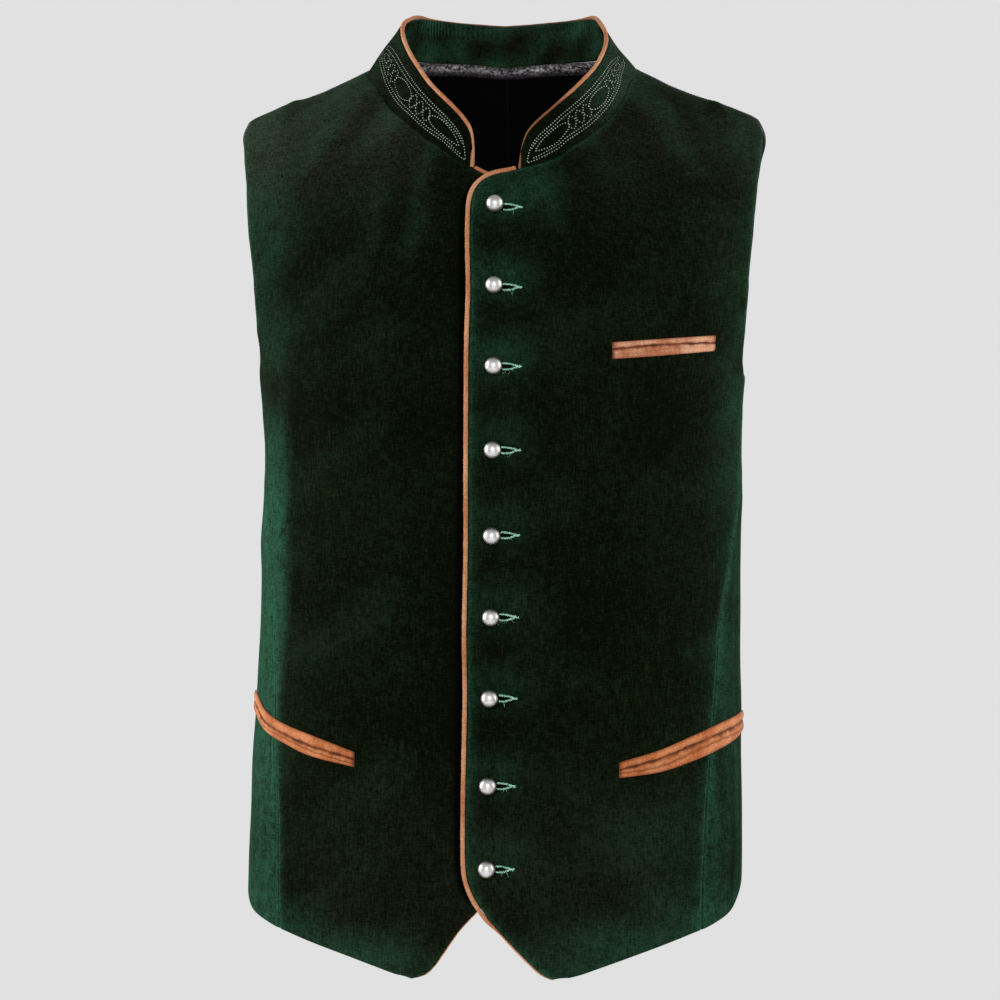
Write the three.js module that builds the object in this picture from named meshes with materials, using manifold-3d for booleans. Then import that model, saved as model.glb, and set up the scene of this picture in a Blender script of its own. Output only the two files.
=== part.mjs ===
// A sleeveless velvet waistcoat with a stand collar, worn on a filled torso.
// Millimetres. +Z is up, +X points to the wearer's left and the front faces -Y.
// The origin lies between the two neck points, at the height of the shoulders.
//
// The cloth follows one body surface. A point on it is named by its turn (degrees
// round the body: 0 at the front, 90 at the wearer's left side, 180 at the back,
// negative on the wearer's right) and its height z.
import * as THREE from "three";
import Module from "manifold-3d";

const kernel = await Module();
kernel.setup();

// Sizes

const SEAM_GAP = 0.3;
const CLOTH = 2.0;
const COLLAR_CLOTH = 3.0;
const COLLAR_SWELL = 1.6;
const TAPE_CLOTH = 1.0;

const PIPING = { width: 3.6, height: 2.8, sides: 8, leftDepth: -0.6, rightDepth: -1.5 };
const COLLAR_PIPING = { width: 3.6, height: 3.6, sides: 8, lowered: 0.6, clearance: 1.5 };
const BUTTON = { ball: 6.3, shank: 1.2, foot: -1, clearance: 0.3, sides: 14, steps: 8 };
const BUTTONHOLE = { back: 0.8, length: 16.5, wide: 1.8, narrow: 0.7 };

const WELT = { seat: 0.3, edge: 1.3, crown: 1.9 };
const TAPE = { fromTurn: 112, top: 0.6, bottom: 5.6, inside: 1, columns: 16 };

const SHOULDER_TURN = 87;
const SIDE_SEAM_TURN = 101;

/** How far each front is moved off the body surface where the two overlap. */
const OVERLAP = { leftLift: 1.3, rightLift: -1.3, flatTo: 13, goneAt: 34 };

// Tables

/** Level sections of the body: half width, depth to front and back, squareness. */
const SECTIONS = [
  { z: 18, half: 70, front: 16, back: 49, squareFront: 2.2, squareBack: 2.2, shift: 0 },
  { z: 10, half: 83, front: 20, back: 57, squareFront: 2.2, squareBack: 2.2, shift: 0 },
  { z: 0, half: 104, front: 29, back: 67, squareFront: 2.2, squareBack: 2.2, shift: 0 },
  { z: -14, half: 135, front: 39, back: 76, squareFront: 2.2, squareBack: 2.2, shift: 0 },
  { z: -26, half: 167, front: 47, back: 83, squareFront: 2.2, squareBack: 2.2, shift: 0 },
  { z: -38, half: 192, front: 56, back: 89, squareFront: 2.2, squareBack: 2.2, shift: 0 },
  { z: -56, half: 198, front: 69, back: 97, squareFront: 2.25, squareBack: 2.2, shift: 0 },
  { z: -100, half: 200, front: 93, back: 109, squareFront: 2.3, squareBack: 2.3, shift: 0 },
  { z: -160, half: 193, front: 107, back: 117, squareFront: 2.35, squareBack: 2.3, shift: 0 },
  { z: -220, half: 182.5, front: 115, back: 117, squareFront: 2.4, squareBack: 2.3, shift: 0 },
  { z: -300, half: 178.3, front: 116, back: 106, squareFront: 2.55, squareBack: 2.3, shift: 0 },
  { z: -400, half: 179.2, front: 109, back: 95, squareFront: 2.65, squareBack: 2.3, shift: -1.6 },
  { z: -520, half: 182.6, front: 107, back: 99, squareFront: 2.7, squareBack: 2.4, shift: -4.4 },
  { z: -620, half: 184.3, front: 109, back: 105, squareFront: 2.7, squareBack: 2.4, shift: -6.1 },
  { z: -700, half: 184.6, front: 110, back: 108, squareFront: 2.7, squareBack: 2.4, shift: -6.4 },
];

/** Height of the lower edge by turn, the same on both sides. */
const HEM = [
  { turn: 0, z: -669 },
  { turn: 24, z: -668.5 },
  { turn: 30, z: -666 },
  { turn: 38, z: -659.5 },
  { turn: 50, z: -648 },
  { turn: 60, z: -638 },
  { turn: 68, z: -630.5 },
  { turn: 75, z: -623 },
  { turn: 81, z: -613 },
  { turn: 87, z: -605 },
  { turn: 96, z: -602 },
  { turn: 140, z: -605 },
  { turn: 180, z: -609 },
];

/** Seam between a front and its side panel, from the lower edge to the armhole. */
const FRONT_SEAM = [
  { z: -640, turn: 64 },
  { z: -560, turn: 65.2 },
  { z: -500, turn: 67 },
  { z: -440, turn: 68.8 },
  { z: -390, turn: 71.2 },
  { z: -350, turn: 75 },
  { z: -310, turn: 80 },
  { z: -260, turn: 84 },
  { z: -200, turn: 86 },
];

/** Armhole at the front, from the seam at the underarm up to the shoulder. */
const ARMHOLE_FRONT = [
  { turn: 84.6, z: -228 },
  { turn: 80.5, z: -216 },
  { turn: 78.4, z: -186 },
  { turn: 77.3, z: -150 },
  { turn: 77.8, z: -120 },
  { turn: 79.8, z: -91 },
  { turn: 84.4, z: -60 },
  { turn: SHOULDER_TURN, z: -45 },
];

/** Armhole at the back, from the side seam up to the shoulder. */
const ARMHOLE_BACK = [
  { turn: SIDE_SEAM_TURN, z: -229 },
  { turn: 105, z: -212 },
  { turn: 108.5, z: -180 },
  { turn: 110, z: -145 },
  { turn: 108, z: -110 },
  { turn: 100, z: -74 },
  { turn: 92, z: -53 },
  { turn: SHOULDER_TURN, z: -45 },
];

/** Height of the neckline by turn, on the wearer's right and left. */
const NECKLINE = [
  { turn: 11, right: -78.5, left: -79.3 },
  { turn: 20, right: -72.2, left: -75.8 },
  { turn: 29, right: -64, left: -70 },
  { turn: 38, right: -56.2, left: -61.6 },
  { turn: 48, right: -46, left: -51.2 },
  { turn: 57, right: -35.2, left: -39.4 },
  { turn: 66, right: -22.8, left: -25.4 },
  { turn: 75, right: -10.5, left: -10.5 },
  { turn: 82, right: -3, left: -3 },
  { turn: SHOULDER_TURN, right: 1.5, left: 1.5 },
  { turn: 98, right: 6.5, left: 6.5 },
  { turn: 115, right: 11, left: 11 },
  { turn: 140, right: 11.5, left: 11.5 },
  { turn: 180, right: 9, left: 9 },
];
const COLLAR_END = { right: 14.6, left: 11.6 };

/** Free edge of the wearer's left front, from its lower tip to the collar. */
const LEFT_EDGE = [
  { x: 44, z: -667.7 },
  { x: 36.5, z: -664.6 },
  { x: 26, z: -656.5 },
  { x: 15.6, z: -647.6 },
  { x: 5.4, z: -637.4 },
  { x: -5, z: -625.6 },
  { x: -12.5, z: -615 },
  { x: -18.4, z: -604 },
  { x: -21.8, z: -592 },
  { x: -22.5, z: -575 },
  { x: -22.2, z: -529 },
  { x: -21, z: -469 },
  { x: -21.4, z: -414 },
  { x: -20, z: -344 },
  { x: -18.7, z: -176 },
  { x: -19.6, z: -125 },
  { x: -19.2, z: -106 },
  { x: -17.4, z: -97 },
  { x: -13.8, z: -91 },
  { x: -7.8, z: -86 },
  { x: -2, z: -83.7 },
  { x: 9.5, z: -81.6 },
];

/** Free edge of the wearer's right front, which lies under the left one. */
const RIGHT_EDGE = [
  { x: -62, z: -667.7 },
  { x: -53, z: -663.6 },
  { x: -45.8, z: -657.4 },
  { x: -37.4, z: -646.8 },
  { x: -26.4, z: -632.2 },
  { x: -14.4, z: -619.6 },
  { x: -4.5, z: -608.5 },
  { x: 2, z: -599 },
  { x: 6.5, z: -588 },
  { x: 8.6, z: -572 },
  { x: 9.6, z: -500 },
  { x: 11.4, z: -380 },
  { x: 13.2, z: -240 },
  { x: 14, z: -120 },
  { x: 13, z: -103 },
  { x: 9, z: -93 },
  { x: 2, z: -87 },
  { x: -8, z: -83.2 },
];

/**
 * Rows of a panel between named heights. `edge` runs 0 to 1 up the free edge or the
 * centre seam and 1 to 2 along the neckline; `side` runs 0 to 1 up the side seam and
 * 1 to 2 up the armhole.
 */
const FRONT_ROWS = [
  { at: "lower edge", edge: 0, side: 0, rows: 0 },
  { at: "foot of the closing", edge: 0.15, side: 0.12, rows: 5 },
  { at: "underarm", edge: 0.73, side: 1, rows: 9 },
  { at: "armhole", edge: 0.93, side: 1.3, rows: 5 },
  { at: "front end of the collar", edge: 1, side: 1.55, rows: 5 },
  { at: "shoulder", edge: 2, side: 2, rows: 7 },
];
const BACK_ROWS = [
  { at: "lower edge", edge: 0, side: 0, rows: 0 },
  { at: "level of the closing's foot", edge: 0.12, side: 0.12, rows: 5 },
  { at: "underarm", edge: 0.6, side: 1, rows: 9 },
  { at: "below the collar", edge: 0.94, side: 1.38, rows: 4 },
  { at: "middle of the collar", edge: 1, side: 1.5, rows: 4 },
  { at: "shoulder", edge: 2, side: 2, rows: 6 },
];
const SEAM_ROWS = FRONT_ROWS[1].rows + FRONT_ROWS[2].rows;
const PANEL_COLUMNS = 14;
const SIDE_COLUMNS = 6;
const UNDERARM_DIP = 7;
const COLLAR_ROWS = 4;

/**
 * Upper edge of the collar as the piping draws it: the turn of the neckline below it,
 * its own turn round the neck, and its height on the wearer's right and left.
 */
const COLLAR_TOP = { rightHalf: 76.5, leftHalf: 78.5, front: 76, back: 46 };
const COLLAR_CORD_ROLL = { from: 84, to: 118 };
const COLLAR_EDGE = [
  { turn: 11, top: 11.4, right: -66, left: -64.5 },
  { turn: 14, top: 13.4, right: -61, left: -56.5 },
  { turn: 17, top: 15.4, right: -50, left: -50.5 },
  { turn: 22, top: 19.2, right: -41.5, left: -44.2 },
  { turn: 31, top: 26.8, right: -30.8, left: -35.2 },
  { turn: 40, top: 34.5, right: -22, left: -26.8 },
  { turn: 50, top: 43, right: -12.5, left: -18.5 },
  { turn: 60, top: 53, right: 0, left: -8.5 },
  { turn: 70, top: 64, right: 12.5, left: 2 },
  { turn: 80, top: 75, right: 24, left: 13.5 },
  { turn: 90, top: 87, right: 34, left: 24.5 },
  { turn: 105, top: 106, right: 41.5, left: 36.5 },
  { turn: 120, top: 122, right: 44, left: 43 },
  { turn: 150, top: 151, right: 43.5, left: 43.5 },
  { turn: 180, top: 180, right: 42.5, left: 42.5 },
];

/** Buttons, from the top: where each stands on the closing. */
const BUTTONS = [
  { x: -1.4, z: -108 },
  { x: -1.4, z: -166.8 },
  { x: -1.5, z: -224.3 },
  { x: -2.1, z: -284.9 },
  { x: -2.9, z: -346.2 },
  { x: -3.7, z: -405.8 },
  { x: -4.7, z: -464.6 },
  { x: -6, z: -528.2 },
  { x: -6.8, z: -588.4 },
];

/** Pocket edgings: height of the upper edge, of the slit and of the lower edge. */
const BREAST_POCKET = [
  { turn: 38.2, above: -207, slit: -212, below: -218.9 },
  { turn: 50, above: -204.4, slit: -208.4, below: -216.4 },
  { turn: 66, above: -200.6, slit: -206, below: -211.9 },
];
const LEFT_POCKET = [
  { turn: 43, above: -511.5, slit: -516.9, below: -522.7 },
  { turn: 52.5, above: -503.5, slit: -509.4, below: -519.2 },
  { turn: 62.4, above: -491.9, slit: -498.4, below: -510.4 },
  { turn: 71.6, above: -483.4, slit: -490.4, below: -501.6 },
  { turn: 82, above: -478.6, slit: -485.4, below: -494.2 },
  { turn: 86, above: -477.4, slit: -484, below: -492.4 },
];
const RIGHT_POCKET = [
  { turn: 45.4, above: -504.6, slit: -509.6, below: -515.4 },
  { turn: 56.7, above: -492.8, slit: -500.6, below: -508 },
  { turn: 64.2, above: -485.6, slit: -492.7, below: -499.4 },
  { turn: 71, above: -477.6, slit: -485, below: -491.6 },
  { turn: 78, above: -466.8, slit: -474, below: -480.6 },
  { turn: 84, above: -462.6, slit: -469.8, below: -476.4 },
];
const WELT_COLUMNS = 12;

/** Soft folds of the body surface: where each starts and ends, its reach and rise. */
const FOLDS = [
  { turn: 70, z: -14, toTurn: 62, toZ: -70, reach: 11, rise: 2.4 },
  { turn: 76, z: -24, toTurn: 68, toZ: -74, reach: 9, rise: -2.2 },
  { turn: 82, z: -30, toTurn: 74, toZ: -86, reach: 12, rise: 1.8 },
  { turn: -66, z: -12, toTurn: -60, toZ: -62, reach: 12, rise: -3 },
  { turn: -73, z: -18, toTurn: -64, toZ: -78, reach: 11, rise: 2.6 },
  { turn: -82, z: -30, toTurn: -70, toZ: -80, reach: 12, rise: 2 },
  { turn: 34, z: -76, toTurn: 26, toZ: -112, reach: 9, rise: -1.4 },
  { turn: 80, z: -236, toTurn: 60, toZ: -262, reach: 15, rise: -1.6 },
  { turn: -80, z: -246, toTurn: -58, toZ: -282, reach: 16, rise: -1.8 },
  { turn: 84, z: -318, toTurn: 54, toZ: -336, reach: 17, rise: 1.5 },
  { turn: -84, z: -352, toTurn: -58, toZ: -378, reach: 18, rise: 1.7 },
  { turn: 112, z: -200, toTurn: 140, toZ: -258, reach: 18, rise: 2.2 },
  { turn: -110, z: -214, toTurn: -142, toZ: -286, reach: 20, rise: 2.4 },
  { turn: 104, z: -372, toTurn: 150, toZ: -396, reach: 20, rise: 2.6 },
  { turn: -106, z: -350, toTurn: -150, toZ: -384, reach: 18, rise: 2.2 },
  { turn: 150, z: -30, toTurn: 168, toZ: -130, reach: 16, rise: -2 },
  { turn: -152, z: -36, toTurn: -164, toZ: -150, reach: 18, rise: -1.8 },
];

// Small maths

const radians = THREE.MathUtils.degToRad;
const mix = THREE.MathUtils.lerp;
const smooth = THREE.MathUtils.smoothstep;

/** A smooth curve through one column of a table, by another column. */
function curve(table, by, column) {
  const rows = [...table].sort((a, b) => a[by] - b[by]);
  const last = rows.length - 1;
  const slope = rows.map((row, i) => {
    const before = rows[Math.max(i - 1, 0)];
    const after = rows[Math.min(i + 1, last)];
    const down = (row[column] - before[column]) / (row[by] - before[by] || 1);
    const up = (after[column] - row[column]) / (after[by] - row[by] || 1);
    if (i === 0) return up;
    if (i === last) return down;
    return down * up > 0 ? (2 * down * up) / (down + up) : 0;
  });
  return (value) => {
    if (value <= rows[0][by]) return rows[0][column];
    if (value >= rows[last][by]) return rows[last][column];
    const i = rows.findIndex((row) => row[by] > value) - 1;
    const span = rows[i + 1][by] - rows[i][by];
    const t = (value - rows[i][by]) / span;
    const rise = rows[i + 1][column] - rows[i][column];
    const bend = t * (1 - t) * span;
    const ease = t * t * (3 - 2 * t);
    return rows[i][column] + rise * ease + bend * (slope[i] * (1 - t) - slope[i + 1] * t);
  };
}

const section = {
  half: curve(SECTIONS, "z", "half"),
  front: curve(SECTIONS, "z", "front"),
  back: curve(SECTIONS, "z", "back"),
  squareFront: curve(SECTIONS, "z", "squareFront"),
  squareBack: curve(SECTIONS, "z", "squareBack"),
  shift: curve(SECTIONS, "z", "shift"),
};
const hemHeight = curve(HEM, "turn", "z");
const frontSeamTurn = curve(FRONT_SEAM, "z", "turn");
const neckHeight = {
  left: curve(NECKLINE, "turn", "left"),
  right: curve(NECKLINE, "turn", "right"),
};

// The body surface

/** The plain body surface, before folds and overlaps. */
function bodyPoint(turn, z) {
  const sine = Math.sin(radians(turn));
  const cosine = Math.cos(radians(turn));
  const depth = cosine > 0 ? section.front(z) : section.back(z);
  const power = cosine > 0 ? section.squareFront(z) : section.squareBack(z);
  const across = (Math.abs(sine) / section.half(z)) ** power;
  const along = (Math.abs(cosine) / depth) ** power;
  const radius = (across + along) ** (-1 / power);
  return new THREE.Vector3(section.shift(z) + radius * sine, -radius * cosine, z);
}

/** Unit vector out of the body surface. */
function bodyNormal(turn, z) {
  const round = bodyPoint(turn + 0.5, z).sub(bodyPoint(turn - 0.5, z));
  const up = bodyPoint(turn, z + 1).sub(bodyPoint(turn, z - 1));
  return round.cross(up).normalize();
}

/** The turn of the front surface point that lies at this x. */
function turnAt(x, z) {
  const across = x - section.shift(z);
  const power = section.squareFront(z);
  const share = Math.min(Math.abs(across) / section.half(z), 1);
  const depth = section.front(z) * (1 - share ** power) ** (1 / power);
  return THREE.MathUtils.radToDeg(Math.atan2(across, depth));
}

/** Height of the soft folds at one place. */
function foldRise(turn, z) {
  const here = bodyPoint(turn, z);
  return FOLDS.reduce((sum, fold) => {
    const start = bodyPoint(fold.turn, fold.z);
    const run = bodyPoint(fold.toTurn, fold.toZ).sub(start);
    const reached = here.clone().sub(start);
    const share = THREE.MathUtils.clamp(reached.dot(run) / run.lengthSq(), 0, 1);
    const away = reached.sub(run.multiplyScalar(share)).length() / fold.reach;
    const fade = 1 - 0.55 * share;
    return sum + fold.rise * fade * Math.exp(-away * away);
  }, 0);
}

/** How far a front is moved off the body where the two fronts overlap. */
function overlapLift(side, turn) {
  const lift = side > 0 ? OVERLAP.leftLift : OVERLAP.rightLift;
  return lift * (1 - smooth(side * turn, OVERLAP.flatTo, OVERLAP.goneAt));
}

/** A spot on the cloth: the outer point of a front, side or back, and its normal. */
function clothSpot(side, turn, z, lift = 0) {
  const normal = bodyNormal(turn, z);
  const onFront = Math.abs(turn) < SHOULDER_TURN;
  const closing = onFront ? overlapLift(side, turn) : 0;
  const quiet = smooth(Math.abs(turn), 12, 26);
  const rise = lift + closing + foldRise(turn, z) * quiet;
  return { point: bodyPoint(turn, z).addScaledVector(normal, rise), normal };
}

// Borders

/** A line of places { turn, z } that can be walked by its share of length. */
class Border {
  constructor(places) {
    this.places = places;
    this.reach = [0];
    for (let i = 1; i < places.length; i += 1) {
      const from = bodyPoint(places[i - 1].turn, places[i - 1].z);
      const to = bodyPoint(places[i].turn, places[i].z);
      this.reach.push(this.reach[i - 1] + from.distanceTo(to));
    }
  }

  /** The place at a share of the length, from 0 to 1. */
  at(share) {
    const want = share * this.reach[this.reach.length - 1];
    let i = this.reach.findIndex((length) => length >= want - 1e-9);
    i = Math.max(i, 1);
    const span = this.reach[i] - this.reach[i - 1];
    const t = (want - this.reach[i - 1]) / span;
    const { turn, z } = this.places[i - 1];
    return { turn: mix(turn, this.places[i].turn, t), z: mix(z, this.places[i].z, t) };
  }
}

/** A place on two borders that follow each other: the second one starts at share 1. */
function walk([first, second], share) {
  return share <= 1 ? first.at(share) : second.at(share - 1);
}

/** Many places along a table of places, smoothed by its running length. */
function smoothPlaces(table, steps = 60) {
  let walked = 0;
  const rows = table.map((row, i) => {
    if (i > 0) {
      const before = table[i - 1];
      const step = bodyPoint(row.turn, row.z).distanceTo(bodyPoint(before.turn, before.z));
      walked += step;
    }
    return { walked, turn: row.turn, z: row.z };
  });
  const turn = curve(rows, "walked", "turn");
  const z = curve(rows, "walked", "z");
  return Array.from({ length: steps + 1 }, (_, i) => {
    const want = (walked * i) / steps;
    return { turn: turn(want), z: z(want) };
  });
}

const mirrored = (places, side) =>
  places.map(({ turn, z }) => ({ turn: side * turn, z }));

/** Places of a table of { x, z } rows on the front surface. */
const fromX = (table) => table.map(({ x, z }) => ({ turn: turnAt(x, z), z }));

/** The seam between front and side panel, from the lower edge to the underarm. */
function frontSeam(side) {
  const low = hemHeight(64);
  const high = ARMHOLE_FRONT[0].z;
  const places = Array.from({ length: 41 }, (_, i) => {
    const z = mix(low, high, i / 40);
    return { turn: frontSeamTurn(z), z };
  });
  return new Border(mirrored(places, side));
}

/** The seam between side panel and back. */
function sideSeam(side) {
  const low = hemHeight(SIDE_SEAM_TURN);
  const high = ARMHOLE_BACK[0].z;
  const places = Array.from({ length: 41 }, (_, i) => {
    return { turn: SIDE_SEAM_TURN, z: mix(low, high, i / 40) };
  });
  return new Border(mirrored(places, side));
}

/** Places of the neckline of one side between two turns. */
function neckline(side, from, to) {
  const height = side > 0 ? neckHeight.left : neckHeight.right;
  return Array.from({ length: 31 }, (_, i) => {
    const turn = mix(from, to, i / 30);
    return { turn: side * turn, z: height(turn) };
  });
}

// Panels

/** Row positions of a panel along its two borders, from a row table. */
function rowShares(table) {
  const shares = [{ edge: 0, side: 0 }];
  for (let i = 1; i < table.length; i += 1) {
    const { rows, edge, side } = table[i];
    for (let k = 1; k <= rows; k += 1) {
      shares.push({
        edge: mix(table[i - 1].edge, edge, k / rows),
        side: mix(table[i - 1].side, side, k / rows),
      });
    }
  }
  return shares;
}

/** Moves a place sideways along the surface by a distance in millimetres. */
function nudged({ turn, z }, distance) {
  const radius = bodyPoint(turn, z).setZ(0).length();
  return { turn: turn + THREE.MathUtils.radToDeg(distance / radius), z };
}

/** A grid of places between two borders, with the lower edge laid on the hem. */
function panelPlaces(inner, outer, columns) {
  const start = inner[0];
  const end = outer[0];
  return inner.map((from, j) => {
    const to = outer[j];
    const v = j / (inner.length - 1);
    return Array.from({ length: columns + 1 }, (_, i) => {
      const u = i / columns;
      const straight = mix(start.z, end.z, u);
      const bow = hemHeight(Math.abs(mix(start.turn, end.turn, u))) - straight;
      const ends = Math.min(1, 8 * Math.min(u, 1 - u));
      const fade = (1 - v) ** 3 * ends;
      return { turn: mix(from.turn, to.turn, u), z: mix(from.z, to.z, u) + bow * fade };
    });
  });
}

/** The places of a front panel, row by row, from its free edge to its side. */
function frontPlaces(side) {
  const edge = side > 0 ? fromX(LEFT_EDGE) : fromX(RIGHT_EDGE);
  const collarEnd = side > 0 ? COLLAR_END.left : COLLAR_END.right;
  const neck = neckline(side, collarEnd, SHOULDER_TURN);
  const inner = [new Border([...smoothPlaces(edge, 120), neck[0]]), new Border(neck)];
  const outer = [
    frontSeam(side),
    new Border(mirrored(smoothPlaces(ARMHOLE_FRONT), side)),
  ];
  const shares = rowShares(FRONT_ROWS);
  const left = shares.map((share) => walk(inner, share.edge));
  const right = shares.map((share) => walk(outer, share.side));
  const rows = right.length - 1;
  const insetRight = right.map((place, j) => {
    return j <= SEAM_ROWS ? nudged(place, (-side * SEAM_GAP) / 2) : place;
  });
  const places = panelPlaces(left, insetRight, PANEL_COLUMNS);
  places[rows] = places[rows].map((place) => nudged(place, (-side * SEAM_GAP) / 2));
  return places;
}

/** The places of a side panel, from the front seam to the back seam. */
function sidePlaces(side) {
  const shares = rowShares(FRONT_ROWS).slice(0, SEAM_ROWS + 1);
  const front = frontSeam(side);
  const back = sideSeam(side);
  const inner = shares.map((row) => nudged(front.at(row.side), (side * SEAM_GAP) / 2));
  const outer = shares.map((row) => nudged(back.at(row.side), (-side * SEAM_GAP) / 2));
  const places = panelPlaces(inner, outer, SIDE_COLUMNS);
  const last = places.length - 1;
  places.forEach((row, j) => {
    const dip = UNDERARM_DIP * smooth(j / last, 0.6, 1);
    row.forEach((place, i) => {
      const u = i / SIDE_COLUMNS;
      place.z -= dip * Math.sin(Math.PI * u);
    });
  });
  return places;
}

/** The places of a back panel, from the centre seam to the side. */
function backPlaces(side) {
  const low = hemHeight(180);
  const high = neckHeight.left(180);
  const centre = Array.from({ length: 61 }, (_, i) => {
    return { turn: side * 180, z: mix(low, high, i / 60) };
  });
  const neck = neckline(side, SHOULDER_TURN, 180).reverse();
  const inner = [new Border(centre), new Border(neck)];
  const outer = [
    sideSeam(side),
    new Border(mirrored(smoothPlaces(ARMHOLE_BACK), side)),
  ];
  const shares = rowShares(BACK_ROWS);
  const rows = shares.length - 1;
  const left = shares.map((share) => {
    const place = walk(inner, share.edge);
    return share.edge <= 1 ? nudged(place, (-side * SEAM_GAP) / 2) : place;
  });
  const right = shares.map((share) => {
    const place = walk(outer, share.side);
    return share.side <= 1 ? nudged(place, (side * SEAM_GAP) / 2) : place;
  });
  const places = panelPlaces(left, right, PANEL_COLUMNS);
  places[rows] = places[rows].map((place) => nudged(place, (side * SEAM_GAP) / 2));
  return places;
}

// Solids

/** A closed wall from two grids of points, the outer one first. */
function wall(outer, inner) {
  const rows = outer.length;
  const columns = outer[0].length;
  const points = [...outer.flat(), ...inner.flat()];
  const at = (layer, j, i) => layer * rows * columns + j * columns + i;
  const faces = [];
  const quad = (a, b, c, d) => faces.push(a, b, c, a, c, d);
  for (let j = 0; j < rows - 1; j += 1) {
    for (let i = 0; i < columns - 1; i += 1) {
      quad(at(0, j, i), at(0, j, i + 1), at(0, j + 1, i + 1), at(0, j + 1, i));
      quad(at(1, j, i), at(1, j + 1, i), at(1, j + 1, i + 1), at(1, j, i + 1));
    }
  }
  for (let i = 0; i < columns - 1; i += 1) {
    quad(at(0, 0, i), at(1, 0, i), at(1, 0, i + 1), at(0, 0, i + 1));
    quad(at(0, rows - 1, i), at(0, rows - 1, i + 1), at(1, rows - 1, i + 1), at(1, rows - 1, i));
  }
  for (let j = 0; j < rows - 1; j += 1) {
    quad(at(0, j, 0), at(0, j + 1, 0), at(1, j + 1, 0), at(1, j, 0));
    const end = columns - 1;
    quad(at(0, j, end), at(1, j, end), at(1, j + 1, end), at(0, j + 1, end));
  }
  return solid(points, faces);
}

/** Geometry of points and faces, turned so that it faces out. */
function solid(points, faces) {
  let volume = 0;
  for (let i = 0; i < faces.length; i += 3) {
    const [a, b, c] = [points[faces[i]], points[faces[i + 1]], points[faces[i + 2]]];
    volume += a.dot(b.clone().cross(c));
  }
  if (volume < 0) faces.reverse();
  const geometry = new THREE.BufferGeometry().setFromPoints(points);
  geometry.setIndex(faces);
  geometry.computeVertexNormals();
  return geometry;
}

/** A cloth wall on a grid of places. */
function clothWall(side, places, thickness = CLOTH, lift = 0) {
  const spots = places.map((row) => row.map(({ turn, z }) => clothSpot(side, turn, z, lift)));
  const outer = spots.map((row) => row.map((spot) => spot.point));
  const inner = spots.map((row) => {
    return row.map(({ point, normal }) => point.clone().addScaledVector(normal, -thickness));
  });
  return wall(outer, inner);
}

/** A cord with an oval section along a path of { centre, out, normal } stations. */
function cord(stations, { width, height, sides }) {
  const points = [];
  const faces = [];
  stations.forEach(({ centre, out, normal }) => {
    for (let k = 0; k < sides; k += 1) {
      const angle = ((k + 0.5) / sides) * 2 * Math.PI;
      const point = centre.clone();
      point.addScaledVector(out, (width / 2) * Math.cos(angle));
      point.addScaledVector(normal, (height / 2) * Math.sin(angle));
      points.push(point);
    }
  });
  const at = (j, k) => j * sides + (k % sides);
  for (let j = 0; j < stations.length - 1; j += 1) {
    for (let k = 0; k < sides; k += 1) {
      faces.push(at(j, k), at(j + 1, k), at(j + 1, k + 1));
      faces.push(at(j, k), at(j + 1, k + 1), at(j, k + 1));
    }
  }
  for (let k = 1; k < sides - 1; k += 1) {
    faces.push(at(0, 0), at(0, k), at(0, k + 1));
    faces.push(at(stations.length - 1, 0), at(stations.length - 1, k + 1));
    faces.push(at(stations.length - 1, k));
  }
  return solid(points, faces);
}

/** Stations of a cord that lies just outside a rim of the cloth. */
function rimStations(rim, width, depth) {
  return rim.map(({ point, normal, inward }, i) => {
    const before = rim[Math.max(i - 1, 0)].point;
    const after = rim[Math.min(i + 1, rim.length - 1)].point;
    const along = after.clone().sub(before).normalize();
    const out = along.clone().cross(normal).normalize();
    if (out.dot(inward) > 0) out.negate();
    const level = normal.clone().addScaledVector(along, -normal.dot(along)).normalize();
    const centre = point.clone().addScaledVector(out, width / 2 + SEAM_GAP);
    centre.addScaledVector(level, depth);
    return { centre, out, normal: level };
  });
}

// Manifold solids, used to cut the buttonholes

function toKernel(geometry) {
  return new kernel.Manifold(
    new kernel.Mesh({
      numProp: 3,
      vertProperties: Float32Array.from(geometry.attributes.position.array),
      triVerts: Uint32Array.from(geometry.index.array),
    }),
  );
}

function fromKernel(shape) {
  const mesh = shape.getMesh();
  const geometry = new THREE.BufferGeometry();
  geometry.setAttribute("position", new THREE.BufferAttribute(mesh.vertProperties, 3));
  geometry.setIndex(new THREE.BufferAttribute(mesh.triVerts, 1));
  geometry.computeVertexNormals();
  return geometry;
}

/** Frame of a button: its foot on the body surface, and the way it faces. */
function buttonFrame({ x, z }) {
  const turn = turnAt(x, z);
  const normal = bodyNormal(turn, z);
  const turned = new THREE.Quaternion();
  turned.setFromUnitVectors(new THREE.Vector3(0, 0, 1), normal);
  return { foot: bodyPoint(turn, z), normal, turned };
}

/** The drop-shaped hole of one button, wide at the shank and narrow at its end. */
function buttonholeCutter(button) {
  const { foot, turned } = buttonFrame(button);
  const post = (radius) => kernel.Manifold.cylinder(16, radius, radius, 12, true);
  const wide = post(BUTTONHOLE.wide).translate([-BUTTONHOLE.back, 0, 0]);
  const narrow = post(BUTTONHOLE.narrow).translate([BUTTONHOLE.length, 0, 0]);
  const drop = kernel.Manifold.hull([wide, narrow]);
  const matrix = new THREE.Matrix4().compose(foot, turned, new THREE.Vector3(1, 1, 1));
  return drop.transform(matrix.elements);
}

// The pieces

const MATERIALS = {
  velvet: { color: 0x16301f, roughness: 0.95 },
  satin: { color: 0x2a262e, roughness: 0.45 },
  suede: { color: 0xcf8350, roughness: 0.9 },
  metal: { color: 0xc9c7c2, roughness: 0.3, metalness: 1 },
};

const waistcoat = new THREE.Group();

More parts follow.
